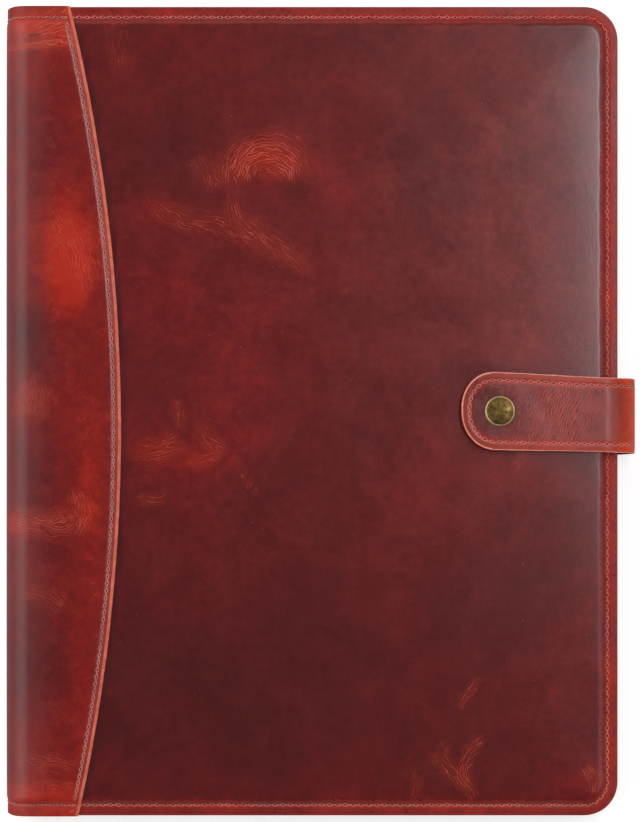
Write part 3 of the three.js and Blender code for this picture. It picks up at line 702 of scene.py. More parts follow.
def crease_lines(f, base, waver, code, tint, bold):
    """Fine lines 0.3 mm wide side by side, each broken along its run, in two sets that cross at a slant. Bold
    ones are wider and less broken. Gives the colour with the creases, and where they lie."""
    lift = None
    for layer in ("first", "second"):
        where = f.add("Attribute", output="Vector", attribute_name=f"{layer}_crease_line")
        strength = f.add("Attribute", output="Fac", attribute_name=f"{layer}_crease")
        shifted = f.add("VectorMath", {0: where, 1: waver}, **PLUS)
        for spacing, slant in ((1.05, 0.0), (1.4, 0.25)):
            x, y, z = f.add("SeparateXYZ", {0: shifted}).node.outputs
            across = total(f, (x, 1 / spacing), (y, slant / spacing))
            number = f.add("Math", {0: across}, operation="FLOOR")
            off = f.add("Math", {0: across, 1: number}, **MINUS)
            off = f.add("Math", {0: off, 1: 0.5}, **MINUS)
            off = f.add("Math", {0: off}, operation="ABSOLUTE")
            wide = 0.19 + 0.08 * bold
            line = f.add("MapRange", {0: off, 1: 0.03 / spacing, 2: wide / spacing, 3: 1.0, 4: 0.0}, **RANGE)
            run = f.add("CombineXYZ", {0: number, 1: y, 2: z})
            run = f.add("VectorMath", {0: run, 1: (7.3, 0.13, 1.0)}, **TIMES)
            unbroken = f.add("TexNoise", {"Vector": run, "Scale": 1.0, "Detail": 2.0})
            low, high = 0.38 - 0.12 * bold, 0.66 - 0.12 * bold
            kept = f.add("MapRange", {0: unbroken, 1: low, 2: high, 4: 0.95}, **RANGE)
            drawn = f.add("Math", {0: line, 1: kept}, **TIMES)
            drawn = f.add("Math", {0: drawn, 1: strength}, **TIMES)
            base = f.add("Mix", {0: drawn, 6: base, 7: colour(code)}, **COLOURS)
            lift = drawn if lift is None else f.add("Math", {0: lift, 1: drawn}, **LARGER)
        tinted = f.add("Math", {0: strength, 1: tint}, **TIMES)
        base = f.add("Mix", {0: tinted, 6: base, 7: colour(code)}, **COLOURS)
    return base, lift


def scratched(f, base, hide, code):
    """Scratches: thin lines up to 6 mm long at three angles, fainter than the creases."""
    scratches = None
    for turn in (0.6, 1.9, 2.7):
        turned = f.add("Mapping", {"Vector": hide, "Rotation": (0, 0, turn), "Scale": (0.45, 6.5, 1)},
                       vector_type="TEXTURE")
        hair = f.add("TexNoise", {"Vector": turned, "Scale": 1.0, "Detail": 0.0})
        one = f.add("MapRange", {0: hair, 1: 0.86, 2: 0.95}, **RANGE)
        scratches = one if scratches is None else f.add("Math", {0: scratches, 1: one}, **LARGER)
    faint = f.add("Math", {0: scratches, 1: 0.2}, **TIMES)
    return f.add("Mix", {0: faint, 6: base, 7: colour(code)}, **COLOURS)


def dusty(f, base, hide):
    """Dust: faint pale specks about 0.3 mm across, one to a few square centimetres."""
    near, tint = f.add("TexVoronoi", {"Vector": hide, "Scale": 1 / 4.2, "Randomness": 1.0}).node.outputs[:2]
    near = f.add("MapRange", {0: near, 1: 0.02, 2: 0.055, 3: 1.0, 4: 0.0}, **RANGE)
    chosen = f.add("SeparateColor", {0: tint})
    chosen = f.add("MapRange", {0: chosen, 1: 0.82, 2: 0.88}, **RANGE)
    specks = f.add("Math", {0: near, 1: chosen}, **TIMES)
    specks = f.add("Math", {0: specks, 1: 0.4}, **TIMES)
    return f.add("Mix", {0: specks, 6: base, 7: colour("#b98378")}, **COLOURS)


def pull_up_leather(name, stops, crease_code, worn_code, roughness, tone_gain, tint, cloudy, bold=0.0):
    """Oily pull-up cowhide: wax makes it dark and cloudy, and where it is bent or rubbed the wax moves away
    and the dyed leather under it shows brighter. Fine grain, creases in bundles, small scratches and dust."""
    f = new_finish(name)
    hide = f.add("Attribute", output="Vector", attribute_name="hide_place")
    tone, worn, dull = (f.add("Attribute", output="Fac", attribute_name=n) for n in ("tone", "worn", "dull"))

    def cloud(size_mm, detail, rough=0.55, warp=0.0):
        return f.add("TexNoise", {"Vector": hide, "Scale": 1 / size_mm, "Detail": detail, "Roughness": rough,
                                  "Distortion": warp})

    wash = cloud(62, 3)
    patch = cloud(17, 4, 0.6, 0.6)
    mottle = cloud(3.6, 4, 0.65)
    fleck = cloud(0.62, 2)
    depth = total(f, (wash, 0.55), (patch, cloudy), (mottle, 0.36), (fleck, 0.34), (tone, tone_gain))
    depth = f.add("MapRange", {0: depth, 1: 0.18 + 0.5 * cloudy, 2: 1.07 + 0.5 * cloudy}, **RANGE)
    base = f.add("ValToRGB", {0: depth}, stops=stops)
    waver = f.add("TexNoise", {"Vector": hide, "Scale": 1 / 5.0, "Detail": 4.0}, output="Color")
    waver = f.add("VectorMath", {0: waver, 1: (3.4, 2.0, 0)}, **TIMES)
    base, lift = crease_lines(f, base, waver, crease_code, tint, bold)
    rubbed_and_highlight = f.add("Math", {0: total(f, (mottle, 0.9), (patch, 0.7)), 1: worn}, use_clamp=True, **TIMES)
    base = f.add("Mix", {0: rubbed_and_highlight, 6: base, 7: colour(worn_code)}, **COLOURS)
    base = dusty(f, scratched(f, base, hide, crease_code), hide)

    # Grain: pores about 0.7 mm apart, drawn as coarse as shows, with the creases' own ridges
    pores = f.add("TexVoronoi", {"Vector": hide, "Scale": 1 / 0.8}, output="Distance", feature="SMOOTH_F1")
    height = total(f, (pores, 0.012), (fleck, 0.006), (mottle, 0.02), (lift, 0.02))
    sheen = total(f, (mottle, 0.14), (patch, 0.1), (worn, 0.16), (lift, 0.2), (dull, 0.22))
    gloss = f.add("Math", {0: sheen, 1: roughness - 0.12}, **PLUS)
    waxed = f.add("MapRange", {0: worn, 1: 0.0, 2: 0.8, 3: 0.5, 4: 0.22}, **RANGE)
    return surface(f, base, gloss, (height, 1.0, 1.0), IOR=1.5, Specular_IOR_Level=waxed)


def fibre(name, low_code, high_code, roughness, size_mm, height_mm):
    """Cut or split leather: loose matt fibre, paler than the dyed face."""
    f = new_finish(name)
    hide = f.add("Attribute", output="Vector", attribute_name="hide_place")
    fine = f.add("TexNoise", {"Vector": hide, "Scale": 1 / size_mm, "Detail": 4.0})
    broad = f.add("TexNoise", {"Vector": hide, "Scale": 1 / (9 * size_mm), "Detail": 3.0})
    paleness = total(f, (fine, 0.6), (broad, 0.5))
    tint = f.add("ValToRGB", {0: paleness}, stops=[(0.32, low_code), (0.72, high_code)])
    return surface(f, tint, roughness, (fine, height_mm, 1.0), Specular_IOR_Level=0.3)


def aged_brass():
    """Brass plated press stud with an antique finish: dark brown-green patina; the rim is painted bright, as
    rubbed wear and as a painted highlight.
    """
    f = new_finish("antique_brass")
    place = f.add("TexCoord", output="Object")
    blotch = f.add("TexNoise", {"Vector": place, "Scale": 420.0, "Detail": 4.0, "Roughness": 0.6})
    fine = f.add("TexNoise", {"Vector": place, "Scale": 2600.0, "Detail": 3.0})
    patina = total(f, (blotch, 0.75), (fine, 0.35))
    tint = f.add("ValToRGB", {0: patina}, stops=[(0.36, "#382b16"), (0.52, "#614c27"), (0.7, "#8c7548")])
    # Bright on the rim: partly rubbed wear, partly a painted highlight.
    rubbed_and_highlight = f.add("Attribute", output="Fac", attribute_name="rubbed_and_highlight")
    tint = f.add("Mix", {0: rubbed_and_highlight, 6: tint, 7: colour("#d8c08a")}, **COLOURS)
    rough = f.add("MapRange", {0: blotch, 1: 0.3, 2: 0.7, 3: 0.5, 4: 0.36}, **RANGE)
    rough = total(f, (rough, 1.0), (rubbed_and_highlight, -0.12))
    return surface(f, tint, rough, (fine, 0.03, 1.0), Metallic=1.0)


def thread_of(name, low_code, high_code):
    """Bonded polyester sewing thread: two plies twisted, a soft sheen along the ridges."""
    f = new_finish(name)
    place = f.add("Attribute", output="Vector", attribute_name="hide_place")
    twist = f.add("TexWave", {"Vector": place, "Scale": 1.4, "Distortion": 1.2, "Detail": 1.0}, output="Fac",
                  bands_direction="DIAGONAL")
    grime_and_painted_shadow = f.add("TexNoise", {"Vector": place, "Scale": 1 / 6.0, "Detail": 3.0})
    paleness = total(f, (twist, 0.35), (grime_and_painted_shadow, 0.7))
    tint = f.add("ValToRGB", {0: paleness}, stops=[(0.25, low_code), (0.75, high_code)])
    return surface(f, tint, 0.55, (twist, 0.05, 0.8), Sheen_Weight=0.2)


def plain(name, low_code, high_code, size_mm, roughness, height_mm):
    """Board, felt and tape: matt, with a speckle at the size of their fibres."""
    f = new_finish(name)
    place = f.add("TexCoord", output="Object")
    fine = f.add("TexNoise", {"Vector": place, "Scale": 1000 / size_mm, "Detail": 4.0})
    tint = f.add("ValToRGB", {0: fine}, stops=[(0.3, low_code), (0.7, high_code)])
    return surface(f, tint, roughness, (fine, height_mm, 1.0))


def ruled_paper():
    """Writing paper: warm white, its top ruled in pale blue 8.7 mm apart with a red margin."""
    f = new_finish("ruled_paper")
    place = f.add("TexCoord", output="Object")
    fine = f.add("TexNoise", {"Vector": place, "Scale": 2500.0, "Detail": 3.0})
    sheet = f.add("ValToRGB", {0: fine}, stops=[(0.3, "#ece8da"), (0.7, "#f7f4ea")])
    x, y = f.add("SeparateXYZ", {0: place}).node.outputs[:2]
    up = f.add("SeparateXYZ", {0: f.add("NewGeometry", output="Normal")}, output="Z")
    on_top = f.add("MapRange", {0: up, 1: 0.9, 2: 0.98}, **RANGE)
    row = f.add("Math", {0: y, 1: 0.0087}, operation="DIVIDE")
    row = f.add("Math", {0: row}, operation="FRACT")
    row = f.add("Math", {0: row, 1: 0.5}, **MINUS)
    row = f.add("Math", {0: row}, operation="ABSOLUTE")
    rule = f.add("MapRange", {0: row, 1: 0.022, 2: 0.03, 3: 0.55, 4: 0.0}, **RANGE)
    rule = f.add("Math", {0: rule, 1: on_top}, **TIMES)
    margin = f.add("Math", {0: x, 1: 0.071}, **PLUS)
    margin = f.add("Math", {0: margin}, operation="ABSOLUTE")
    margin = f.add("MapRange", {0: margin, 1: 0.0002, 2: 0.0003, 3: 0.6, 4: 0.0}, **RANGE)
    margin = f.add("Math", {0: margin, 1: on_top}, **TIMES)
    ruled = f.add("Mix", {0: rule, 6: sheet, 7: colour("#9fb4cf")}, **COLOURS)
    ruled = f.add("Mix", {0: margin, 6: ruled, 7: colour("#c98f92")}, **COLOURS)
    return surface(f, ruled, 0.85, Specular_IOR_Level=0.3)


COVER_LEATHER = pull_up_leather(
    "cowhide_panel", [(0.0, "#431214"), (0.4, "#551315"), (0.66, "#631315"), (1.0, "#7e1612")],
    "#c2401f", "#a5291c", 0.225, 0.5, 0.16, 0.45)
OVERLAY_LEATHER = pull_up_leather(
    "cowhide_overlay", [(0.0, "#451012"), (0.35, "#621213"), (0.62, "#761511"), (1.0, "#a02010")],
    "#b8452c", "#a82c1b", 0.24, 0.6, 0.1, 0.24)
STRAP_LEATHER_FINISH = pull_up_leather(
    "cowhide_strap", [(0.0, "#420f11"), (0.35, "#4e1214"), (0.65, "#5e1717"), (1.0, "#741d17")],
    "#b0423a", "#d8441f", 0.27, 0.6, 0.05, 0.3, bold=0.45)
LINING_LEATHER = fibre("split_lining_leather", "#5f1f19", "#86342a", 0.82, 0.8, 0.08)
FLESH_SIDE = fibre("flesh_side", "#6a2720", "#8f4034", 0.92, 1.0, 0.12)
RAW_EDGE = fibre("raw_cut_edge", "#b04434", "#e87a62", 0.88, 0.5, 0.15)
STRAP_RAW_EDGE = fibre("strap_raw_edge", "#b8503e", "#e8a28c", 0.9, 0.7, 0.25)
THREAD = thread_of("bonded_thread", "#a2403a", "#d87a6e")
THIN_THREAD = thread_of("thin_bonded_thread", "#8c403a", "#cc7c72")
# The holes' hollows, in a dark finish: painted shade.
PAINTED_HOLE_SHADE = fibre("painted_hole_shade", "#1c0506", "#32090b", 0.95, 0.5, 0.02)
BRASS = aged_brass()
GREY_BOARD = plain("pulp_board", "#827a6e", "#9b9386", 1.6, 0.9, 0.05)
FELT = plain("padding_felt", "#cfc7b6", "#e2dccd", 1.2, 0.95, 0.15)
PAPER = ruled_paper()
TAPE = plain("cloth_binding_tape", "#761713", "#941f1a", 0.7, 0.7, 0.06)


# The covers, each half of one sheet that is folded at the middle of the spine

def put(piece, slot, body=None, bodies=None, start=None, end=None, nodes=()):
    """Attaches a piece to the body it rides on, or keeps one that spans two bodies where it is, and hides the
    nodes that it stands for. Its finish's slot is not used.
    """
    if bodies:
        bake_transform(piece)
    else:
        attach(piece, body)
    if nodes:
        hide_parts(*nodes)


def fold(side, depth):
    """How a ply bends at the spine: from its place at the middle of the spine to where its cover is flat."""
    flat = (SPINE_CENTRE_X * MM, 0, (MIDDLE_Z + side * (SPINE_RADIUS - depth)) * MM)
    return dict(bodies=("spine", "front_cover" if side > 0 else "back_cover"),
                start=((SPINE_X + depth) * MM, 0, MIDDLE_Z * MM), end=flat)


def put_ply(piece, name, side, ply, depths, slot):
    """A ply stands for its cover's solid, and the front one for the spine's, too."""
    nodes = [f"{name}_{ply}"] + ([f"spine_{ply}"] if side > 0 else [])
    put(piece, slot, nodes=nodes, **fold(side, sum(depths) / 2))


def dull_fold(u):
    """The fold round the spine has lost its shine by handling."""
    return bell(u, 0, BEND + 5, 4)


def hide_of_cover(name, side, place):
    u, y, inset = cover_net(2.2, EDGE_STEPS)
    low = sink(u, y, inset)
    outer = LEATHER[0] + low + seam_groove(inset, EDGE_SEAM) + rounded(inset, 0.4)
    inner = LEATHER[1] + low - rounded(inset, 0.2)
    piece = sheet_of(f"{name}_leather_skin", u, y, outer, inner, place, side < 0)
    # Rubbed along the seam, over the border and on the very edge, and most towards the fore-edge
    worn = 0.85 * bell(inset, 4.3, 2.1) + 0.5 * bell(inset, 0, 4.6, 4)
    worn = worn * (0.75 + 0.25 * ripple((u + y) / 16, 4.0)) * (0.75 + 0.25 * smooth((u - 120) / 100))
    worn = worn + 0.4 * bell(inset, 0, 0.7)
    cut_at, marks, tones = HIDE_CUTS[name]
    # A dark line painted along the overlay's curved edge: painted shadow of its raised edge.
    painted_shadow_beside_overlay = -1.6 * bell(u, overlay_edge(y), 0.9)
    mark_hide(piece, u, y, cut_at, worn, marks, tones, painted_shadow_beside_overlay, dull_fold(u), from_above=True)
    dress(piece, COVER_LEATHER, RAW_EDGE, FLESH_SIDE)
    put_ply(piece, name, side, "leather", LEATHER, "pull_up_leather")


def overlay_of_cover(name, side, place):
    ys = np.array(from_both_ends(OVERLAY_HALF_HEIGHT, EDGE_STEPS, 1.7))
    about_wide = 50.0
    shares = np.array([0, 0.35, 0.8] + spread(0.8, about_wide, 1.15)) / about_wide
    first = overlay_edge(ys, OVERLAY_EDGE_STEPS[0])
    u = np.stack([share * first for share in shares] + [overlay_edge(ys, s) for s in OVERLAY_EDGE_STEPS], -1)
    frayed = 0.04 * ripple(ys / 1.9, 6.0) + 0.06 * ripple(ys / 14.0, 2.0)
    u[:, -1] += frayed
    u_inner = u.copy()
    u_inner[:, -1] = overlay_edge(ys) + frayed
    y = np.repeat(ys[:, None], u.shape[1], 1)
    inset = np.maximum(HALF_HEIGHT - np.abs(y), 0)
    from_edge = np.repeat(np.array([99.0] * len(shares) + OVERLAY_EDGE_STEPS)[None], len(ys), 0)
    outer = OVERLAY[0] + sink(u, y, inset)
    outer = outer + seam_groove(from_edge, OVERLAY_SEAM, 0.28, 0.5) * smooth((inset - 5) / 3)
    outer = outer + seam_groove(inset, EDGE_SEAM, 0.25, 0.6) + rounded(inset + 0.4, 0.4)
    outer = outer + 0.3 * bell(from_edge, OVERLAY_TUCK, 0.5)
    inner = OVERLAY[1] + sink(u_inner, y, inset) - rounded(inset + 0.4, 0.2)
    piece = shell(f"{name}_overlay_skin", place(u, y, outer), place(u_inner, y, inner), side < 0)
    worn = 0.5 * bell(inset, 1, 5.0, 4) + 0.55 * bell(from_edge, 0, 3.2)
    cut_at, marks, tones = OVERLAY_CUTS[name]
    mark_hide(piece, u, y, cut_at, worn, marks, tones, dull=dull_fold(u))
    dress(piece, OVERLAY_LEATHER, RAW_EDGE, FLESH_SIDE)
    put_ply(piece, name, side, "overlay", OVERLAY, "overlay_leather")


def padding_of_cover(name, side, place):
    u, y, inset = cover_net(4.0, FOAM_STEPS, outset=FOAM_INSET)
    outer = np.minimum(FOAM[0] + sink(u, y, inset + FOAM_INSET) + rounded(inset, 0.3), FOAM[1] - 0.12)
    piece = sheet_of(f"{name}_padding", u, y, outer, FOAM[1], place, side < 0)
    dress(piece, FELT, FELT, FELT)
    put_ply(piece, name, side, "foam", FOAM, "foam")


def mark_and_dress_lining(piece, x, y, cut_at):
    """Split leather, the same on both faces, as for all that is inside the folder."""
    mark_hide(piece, x, y, cut_at)
    dress(piece, LINING_LEATHER, RAW_EDGE, LINING_LEATHER)


def lining_of_cover(name, side, place):
    u, y, inset = cover_net(3.6, LINING_STEPS)
    outer = LINING[0] + rounded(inset, 0.2)
    inner = LINING[1] - rounded(inset, 0.2) - seam_groove(inset, EDGE_SEAM, 0.25, 0.5)
    piece = sheet_of(f"{name}_inside_lining", u, y, outer, inner, place, side < 0)
    mark_and_dress_lining(piece, u, y, LINING_CUTS[name])
    put_ply(piece, name, side, "lining", LINING, "lining_leather")


COVERS = [(name, side, partial(cover_place, side=side)) for name, side in (("front", 1), ("back", -1))]
for cover in COVERS:
    hide_of_cover(*cover)
    overlay_of_cover(*cover)
    padding_of_cover(*cover)
    lining_of_cover(*cover)


# Sewing: one stitch and one awl hole, whose hollow is a dark bead of painted shade, are modelled, and each
# row is made of their copies

def taken_apart(piece):
    """The points and faces of a piece that is a model for copies and isn't kept itself."""
    points = points_of(piece)
    faces = [tuple(p.vertices) for p in piece.data.polygons]
    bpy.data.objects.remove(piece)
    return points, faces


def model_stitch():
    """Thread that passes a hole at one side: 1 long and 1 thick, it swings out by 1.3 and back again."""
    bpy.ops.mesh.primitive_uv_sphere_add(segments=6, ring_count=8, radius=0.5, rotation=(0, math.pi / 2, 0))
    bpy.ops.object.transform_apply(location=True, rotation=True, scale=True)
    points, faces = taken_apart(bpy.context.object)
    thick = np.sqrt(np.clip(1 - (2 * points[:, 0]) ** 2, 0, 1))
    fuller = np.where(thick > 1e-3, np.clip(thick, 1e-3, 1) ** -0.9, 1)
    run = np.arcsin(np.clip(2 * points[:, 0], -1, 1)) / math.pi
    swing = (0.5 * (1 + np.cos(2 * math.pi * (run + 0.05)))) ** 1.6
    out, up = points[:, 1] * fuller + 1.3 * swing, points[:, 2] * fuller + 0.35 * swing
    return np.stack([run, out, up], -1), faces


def model_painted_hole_shade():
    """A dark diamond bead standing in for an awl hole's hollow in leather: painted shade, not a cut."""
    bpy.ops.mesh.primitive_uv_sphere_add(segments=8, ring_count=4, radius=0.5)
    points, faces = taken_apart(bpy.context.object)
    round_about = np.arctan2(points[:, 1], points[:, 0])
    corner = 1 / (np.abs(np.cos(round_about)) + np.abs(np.sin(round_about)))
    points[:, :2] *= corner[:, None]
    return points, faces


STITCH = model_stitch()
HOLE_SHADE = model_painted_hole_shade()


def copies(model, origins, along, across, up, sizes, first=0):
    """Points and faces of a model copied to each origin, along three directions, with its three sizes. The
    points are numbered from first."""
    points, faces = model
    length, width, height = sizes
    length = np.broadcast_to(length, len(origins))
    placed = (
        origins[:, None]
        + along[:, None] * (points[None, :, 0] * length[:, None])[..., None]
        + across[:, None] * (points[None, :, 1] * width)[..., None]
        + up[:, None] * (points[None, :, 2] * height)[..., None]
    )
    starts = first + np.arange(len(origins)) * len(points)
    return placed.reshape(-1, 3), [tuple(int(start) + i for i in face) for start in starts for face in faces]


def sewn_row(name, holes, up, thread, width=0.45, height=0.34, hole_size=(1.2, 0.9, 0.3), lift=0.0,
             closed=False):
    """A row of stitches through a line of holes: the thread splits round each hole and meets between them.
    Each hole's hollow is a dark bead of painted shade.
    """
    run = np.roll(holes, -1, 0) - np.roll(holes, 1, 0) if closed else np.gradient(holes, axis=0) * 2
    along = unit(run)
    across = unit(np.cross(up, along))
    size = (np.linalg.norm(run, axis=1) / 2 * 1.1, width, height)
    count = len(holes) * len(STITCH[0])
    above = holes + up * lift
    points, faces = copies(STITCH, above, along, across, up, size)
    other_points, other_faces = copies(STITCH, above, -along, -across, up, size, first=count)
    # Each hole gets a dark bead of painted shade in place of its hollow.
    shade_points, shade_faces = copies(HOLE_SHADE, holes + up * 0.03, along, across, up, hole_size, first=2 * count)
    points = np.concatenate([points, other_points, shade_points])
    mesh = bpy.data.meshes.new(name)
    mesh.from_pydata(points * MM, [], faces + other_faces + shade_faces)
    mesh.materials.append(thread)
    mesh.materials.append(PAINTED_HOLE_SHADE)
    slots = np.ones(len(mesh.polygons), np.int32)
    slots[:2 * len(faces)] = 0
    mesh.polygons.foreach_set("material_index", slots)
    mesh.polygons.foreach_set("use_smooth", np.ones(len(slots), bool))
    row = bpy.data.objects.new(name, mesh)
    bpy.context.scene.collection.objects.link(row)
    mark(row, "hide_place", points)
    return row


def even(points, pitch, closed=False):
    """Places at even steps along a line of points, as near the pitch as fits."""
    points = np.asarray(points, float)
    if closed:
        points = np.concatenate([points, points[:1]])
    gone = np.concatenate([[0], np.cumsum(np.linalg.norm(np.diff(points, axis=0), axis=1))])
    at = np.linspace(0, gone[-1], max(1, round(gone[-1] / pitch)) + 1)
    if closed:
        at = at[:-1]
    return np.stack([np.interp(at, gone, points[:, k]) for k in range(points.shape[1])], -1)


def sew(name, place, u, y, depth, thread, nodes, where, **look):
    """A row of stitches laid on a surface, following its curve."""
    up = unit(place(u, y, depth - 0.5) - place(u, y, depth + 0.5))
    put(sewn_row(name, place(u, y, depth), up, thread, **look), "thread", nodes=nodes, **where)


def edge_seam(name, side, place):
    """The row along a cover's edge. Where it crosses the overlay its thread is thinner."""
    right, top, radius = REACH - EDGE_SEAM, HALF_HEIGHT - EDGE_SEAM, CORNER_RADIUS - EDGE_SEAM
    upper = [(right - radius, top)] + arc((right - radius, top - radius), radius, 0, math.pi / 2, 24)
    u, y = even([(0.8, top)] + upper + [(u, -y) for u, y in upper[::-1]] + [(0.8, -top)], EDGE_PITCH).T
    on_overlay = u < overlay_edge(y) - 0.8
    depth = np.where(on_overlay, OVERLAY[0] + 0.25, LEATHER[0] + 0.3) + sink(u, y, np.full(len(u), EDGE_SEAM))
    first = int(np.argmax(~on_overlay))
    last = len(on_overlay) - int(np.argmax(~on_overlay[::-1]))
    thin = dict(width=0.28, lift=-0.05)
    for label, start, end, thread, ply, nodes, look in (
            ("edge", first, last, THREAD, LEATHER, [f"{name}_edge_thread"], dict(lift=0.05)),
            ("head_overlay", 0, first, THIN_THREAD, OVERLAY, [], thin),
            ("tail_overlay", last, len(u), THIN_THREAD, OVERLAY, [], thin)):
        part = slice(start, end)
        sew(f"{name}_{label}_stitches", place, u[part], y[part], depth[part], thread, nodes,
            fold(side, ply[0]), **look)


def overlay_seam(name, side, place):
    """The row along the overlay's curved edge."""
    heights = np.linspace(-1, 1, 200) * (HALF_HEIGHT - 1.7)
    u, y = even([(overlay_edge(y, OVERLAY_SEAM), y) for y in heights], OVERLAY_PITCH).T
    depth = OVERLAY[0] + 0.2 + sink(u, y, HALF_HEIGHT - np.abs(y))
    sew(f"{name}_overlay_stitches", place, u, y, depth, THIN_THREAD, [f"{name}_overlay_thread"],
        fold(side, OVERLAY[0]), width=0.42, height=0.3, hole_size=(0.9, 0.6, 0.2))


def flat_seam(name, line, z, outward, body, lift=0.06, closed=False):
    """A row of finer stitches on a level face that looks up or down."""
    x, y = even(line, POCKET_PITCH, closed).T
    up = np.repeat([[0.0, 0.0, outward]], len(x), 0)
    row = sewn_row(name, level(x, y, z), up, THREAD, width=0.32, height=0.28, lift=lift, closed=closed)
    put(row, "thread", body=body)


for cover in COVERS:
    edge_seam(*cover)
    overlay_seam(*cover)


# The strap, which goes round the fore-edge in a half circle

def at_fore_edge(depth):
    return ((STRAP_CENTRE_X + STRAP_RADIUS - depth) * MM, 0, STRAP_RADIUS * MM)


def upper_bend(depth):
    """How a ply of the strap bends above the middle of the fore-edge."""
    return dict(bodies=("strap_wrap", "strap_flap"), start=at_fore_edge(depth),
                end=(STRAP_CENTRE_X * MM, 0, (STRAP_TOP - depth) * MM))


def lower_bend(depth):
    """How a ply of the strap bends below the middle of the fore-edge."""
    return dict(bodies=("back_cover", "strap_wrap"), start=(STRAP_CENTRE_X * MM, 0, depth * MM),
                end=at_fore_edge(depth))


def strap_skin(name, s, across, outer, inset, worn, bend, nodes, marks=(), tones=(), fray=0.0, bare=None):
    """A stretch of the strap's leather. Its sides are frayed, and the cut fibre shows where it is bare."""
    wide = across + np.sign(across) * fray
    outer = outer + rounded(inset, 0.3)
    piece = sheet_of(name, s, wide, outer, STRAP_LEATHER[1], strap_place)
    mark_hide(piece, s, across, STRAP_CUT, worn, marks, tones)
    dress(piece, STRAP_LEATHER_FINISH, STRAP_RAW_EDGE, FLESH_SIDE, bare)
    put(piece, "strap_leather", nodes=nodes, **bend(sum(STRAP_LEATHER) / 2))


def strap_backing(name, s, across, inset, groove, bend, nodes):
    """A stretch of the strap's lining."""
    top = STRAP_LINING[0] + rounded(inset, 0.2)
    bottom = STRAP_LINING[1] - rounded(inset, 0.25) - seam_groove(inset, STRAP_SEAM, groove, 0.45)
    piece = sheet_of(name, s, across, top, bottom, strap_place)
    mark_hide(piece, s, across, STRAP_LINING_CUT)
    dress(piece, STRAP_RAW_EDGE, STRAP_RAW_EDGE, LINING_LEATHER)
    put(piece, "lining_leather", nodes=nodes, **bend(sum(STRAP_LINING) / 2))


def strap_flap():
    """The strap from its tip to the middle of the fore-edge, doubled with its lining."""
    s, across, inset = strap_net(0, STRAP_MIDDLE, True)
    fray = 0.1 * ripple((s + 3 * across) / 1.7, 2.0) * bell(inset, 0, 0.5)
    uneven = 0.05 * ripple(s / 6.5 + across / 9, 1.0) + 0.03 * ripple(across / 4 - s / 11, 8.0)
    uneven = uneven * smooth(inset / 6) * smooth((STRAP_MIDDLE - s) / 20)
    pinch = 0.14 * (1 - smooth(inset / 5))
    outer = STRAP_LEATHER[0] + np.maximum(uneven, -0.1) + pinch + seam_groove(inset, STRAP_SEAM, 0.26, 0.45)
    worn = 1.3 * bell(s, STRAP_MIDDLE, 11.5) + 0.4 * bell(inset, 0, 1.6) + 0.03
    worn = worn + 0.35 * bell(inset, STRAP_SEAM, 1.2)
    strap_skin("strap_flap_leather", s, across, outer, inset, worn, upper_bend,
               ["strap_flap_leather", "strap_wrap_leather"], STRAP_MARKS, STRAP_TONES, fray, inset < 0.65)
    strap_backing("strap_flap_lining", s, across, inset, 0.2, upper_bend,
                  ["strap_flap_lining", "strap_wrap_lining"])


def strap_base():
    """The strap's sewn stretch: its leather lies on the back cover, and the lining stops at the fore-edge."""
    s, across, inset = strap_net(STRAP_MIDDLE, STRAP_END, False, 1.2)
    inset = np.minimum(inset, STRAP_END - s)
    outer = STRAP_LEATHER[0] + 0.1 * (1 - smooth(inset / 5)) + seam_groove(inset, STRAP_SEAM, 0.3, 0.5)
    worn = 0.9 * bell(s, STRAP_MIDDLE, 14) + 0.6 * bell(inset, 0, 1.4) + 0.12
    strap_skin("strap_base_leather", s, across, outer, inset, worn, lower_bend, ["strap_base"])
    s, across, inset = strap_net(STRAP_MIDDLE, STRAP_FLAT + STRAP_BEND, False, 1.2)
    strap_backing("strap_base_lining", s, across, inset, 0.0, lower_bend, [])


def strap_seam(part, line, node, bend):
    s, across = even(line, STRAP_PITCH).T
    sew(f"strap_{part}_stitches", strap_place, s, across, 0.3, THREAD, [node], bend(STRAP_LEATHER[0]),
        lift=0.05)


def strap_seams():
    length, wide = TIP_LENGTH - STRAP_SEAM, TIP_HALF_WIDTH - STRAP_SEAM
    middle = STRAP_HALF_WIDTH - TIP_HALF_WIDTH
    half = [(TIP_LENGTH - length * math.cos(a), middle + wide * math.sin(a))
            for a in np.linspace(0, math.pi / 2, 20)]
    half += [(s, strap_half_width(s) - STRAP_SEAM) for s in np.linspace(14, STRAP_MIDDLE, 40)]
    strap_seam("flap", [(s, -v) for s, v in half[::-1]] + half, "strap_thread", upper_bend)
    start, end = STRAP_MIDDLE + STRAP_PITCH, STRAP_END - STRAP_SEAM
    wide = strap_half_width(STRAP_END) - STRAP_SEAM
    line = [(start, -wide), (end, -wide), (end, wide), (start, wide)]
    strap_seam("base", line, "strap_base_thread", lower_bend)


strap_flap()
strap_base()
strap_seams()


# The press stud's cap: its outline is spun about its middle

def spun(name, outline, centre_x, steps, finish):
    """A turned piece: its outline, from the middle at the top to the middle at the bottom, is spun round."""
    bpy.ops.mesh.primitive_circle_add(vertices=3, radius=0.001, location=(0, 0, 0))
    piece = bpy.context.object
    piece.name = piece.data.name = name
    piece.data.clear_geometry()
    points = [((centre_x + r) * MM, 0, z * MM) for r, z in outline]
    piece.data.from_pydata(points, [(i, i + 1) for i in range(len(points) - 1)], [])
    bpy.ops.object.mode_set(mode="EDIT")
    bpy.ops.mesh.select_all(action="SELECT")
    bpy.ops.mesh.spin(steps=steps, angle=2 * math.pi, center=(centre_x * MM, 0, 0), axis=(0, 0, 1))
    bpy.ops.mesh.select_all(action="SELECT")
    bpy.ops.mesh.remove_doubles(threshold=1e-6)
    bpy.ops.mesh.normals_make_consistent(inside=False)
    bpy.ops.object.mode_set(mode="OBJECT")
    piece.data.materials.append(finish)
    shade(piece, 40)
    return piece


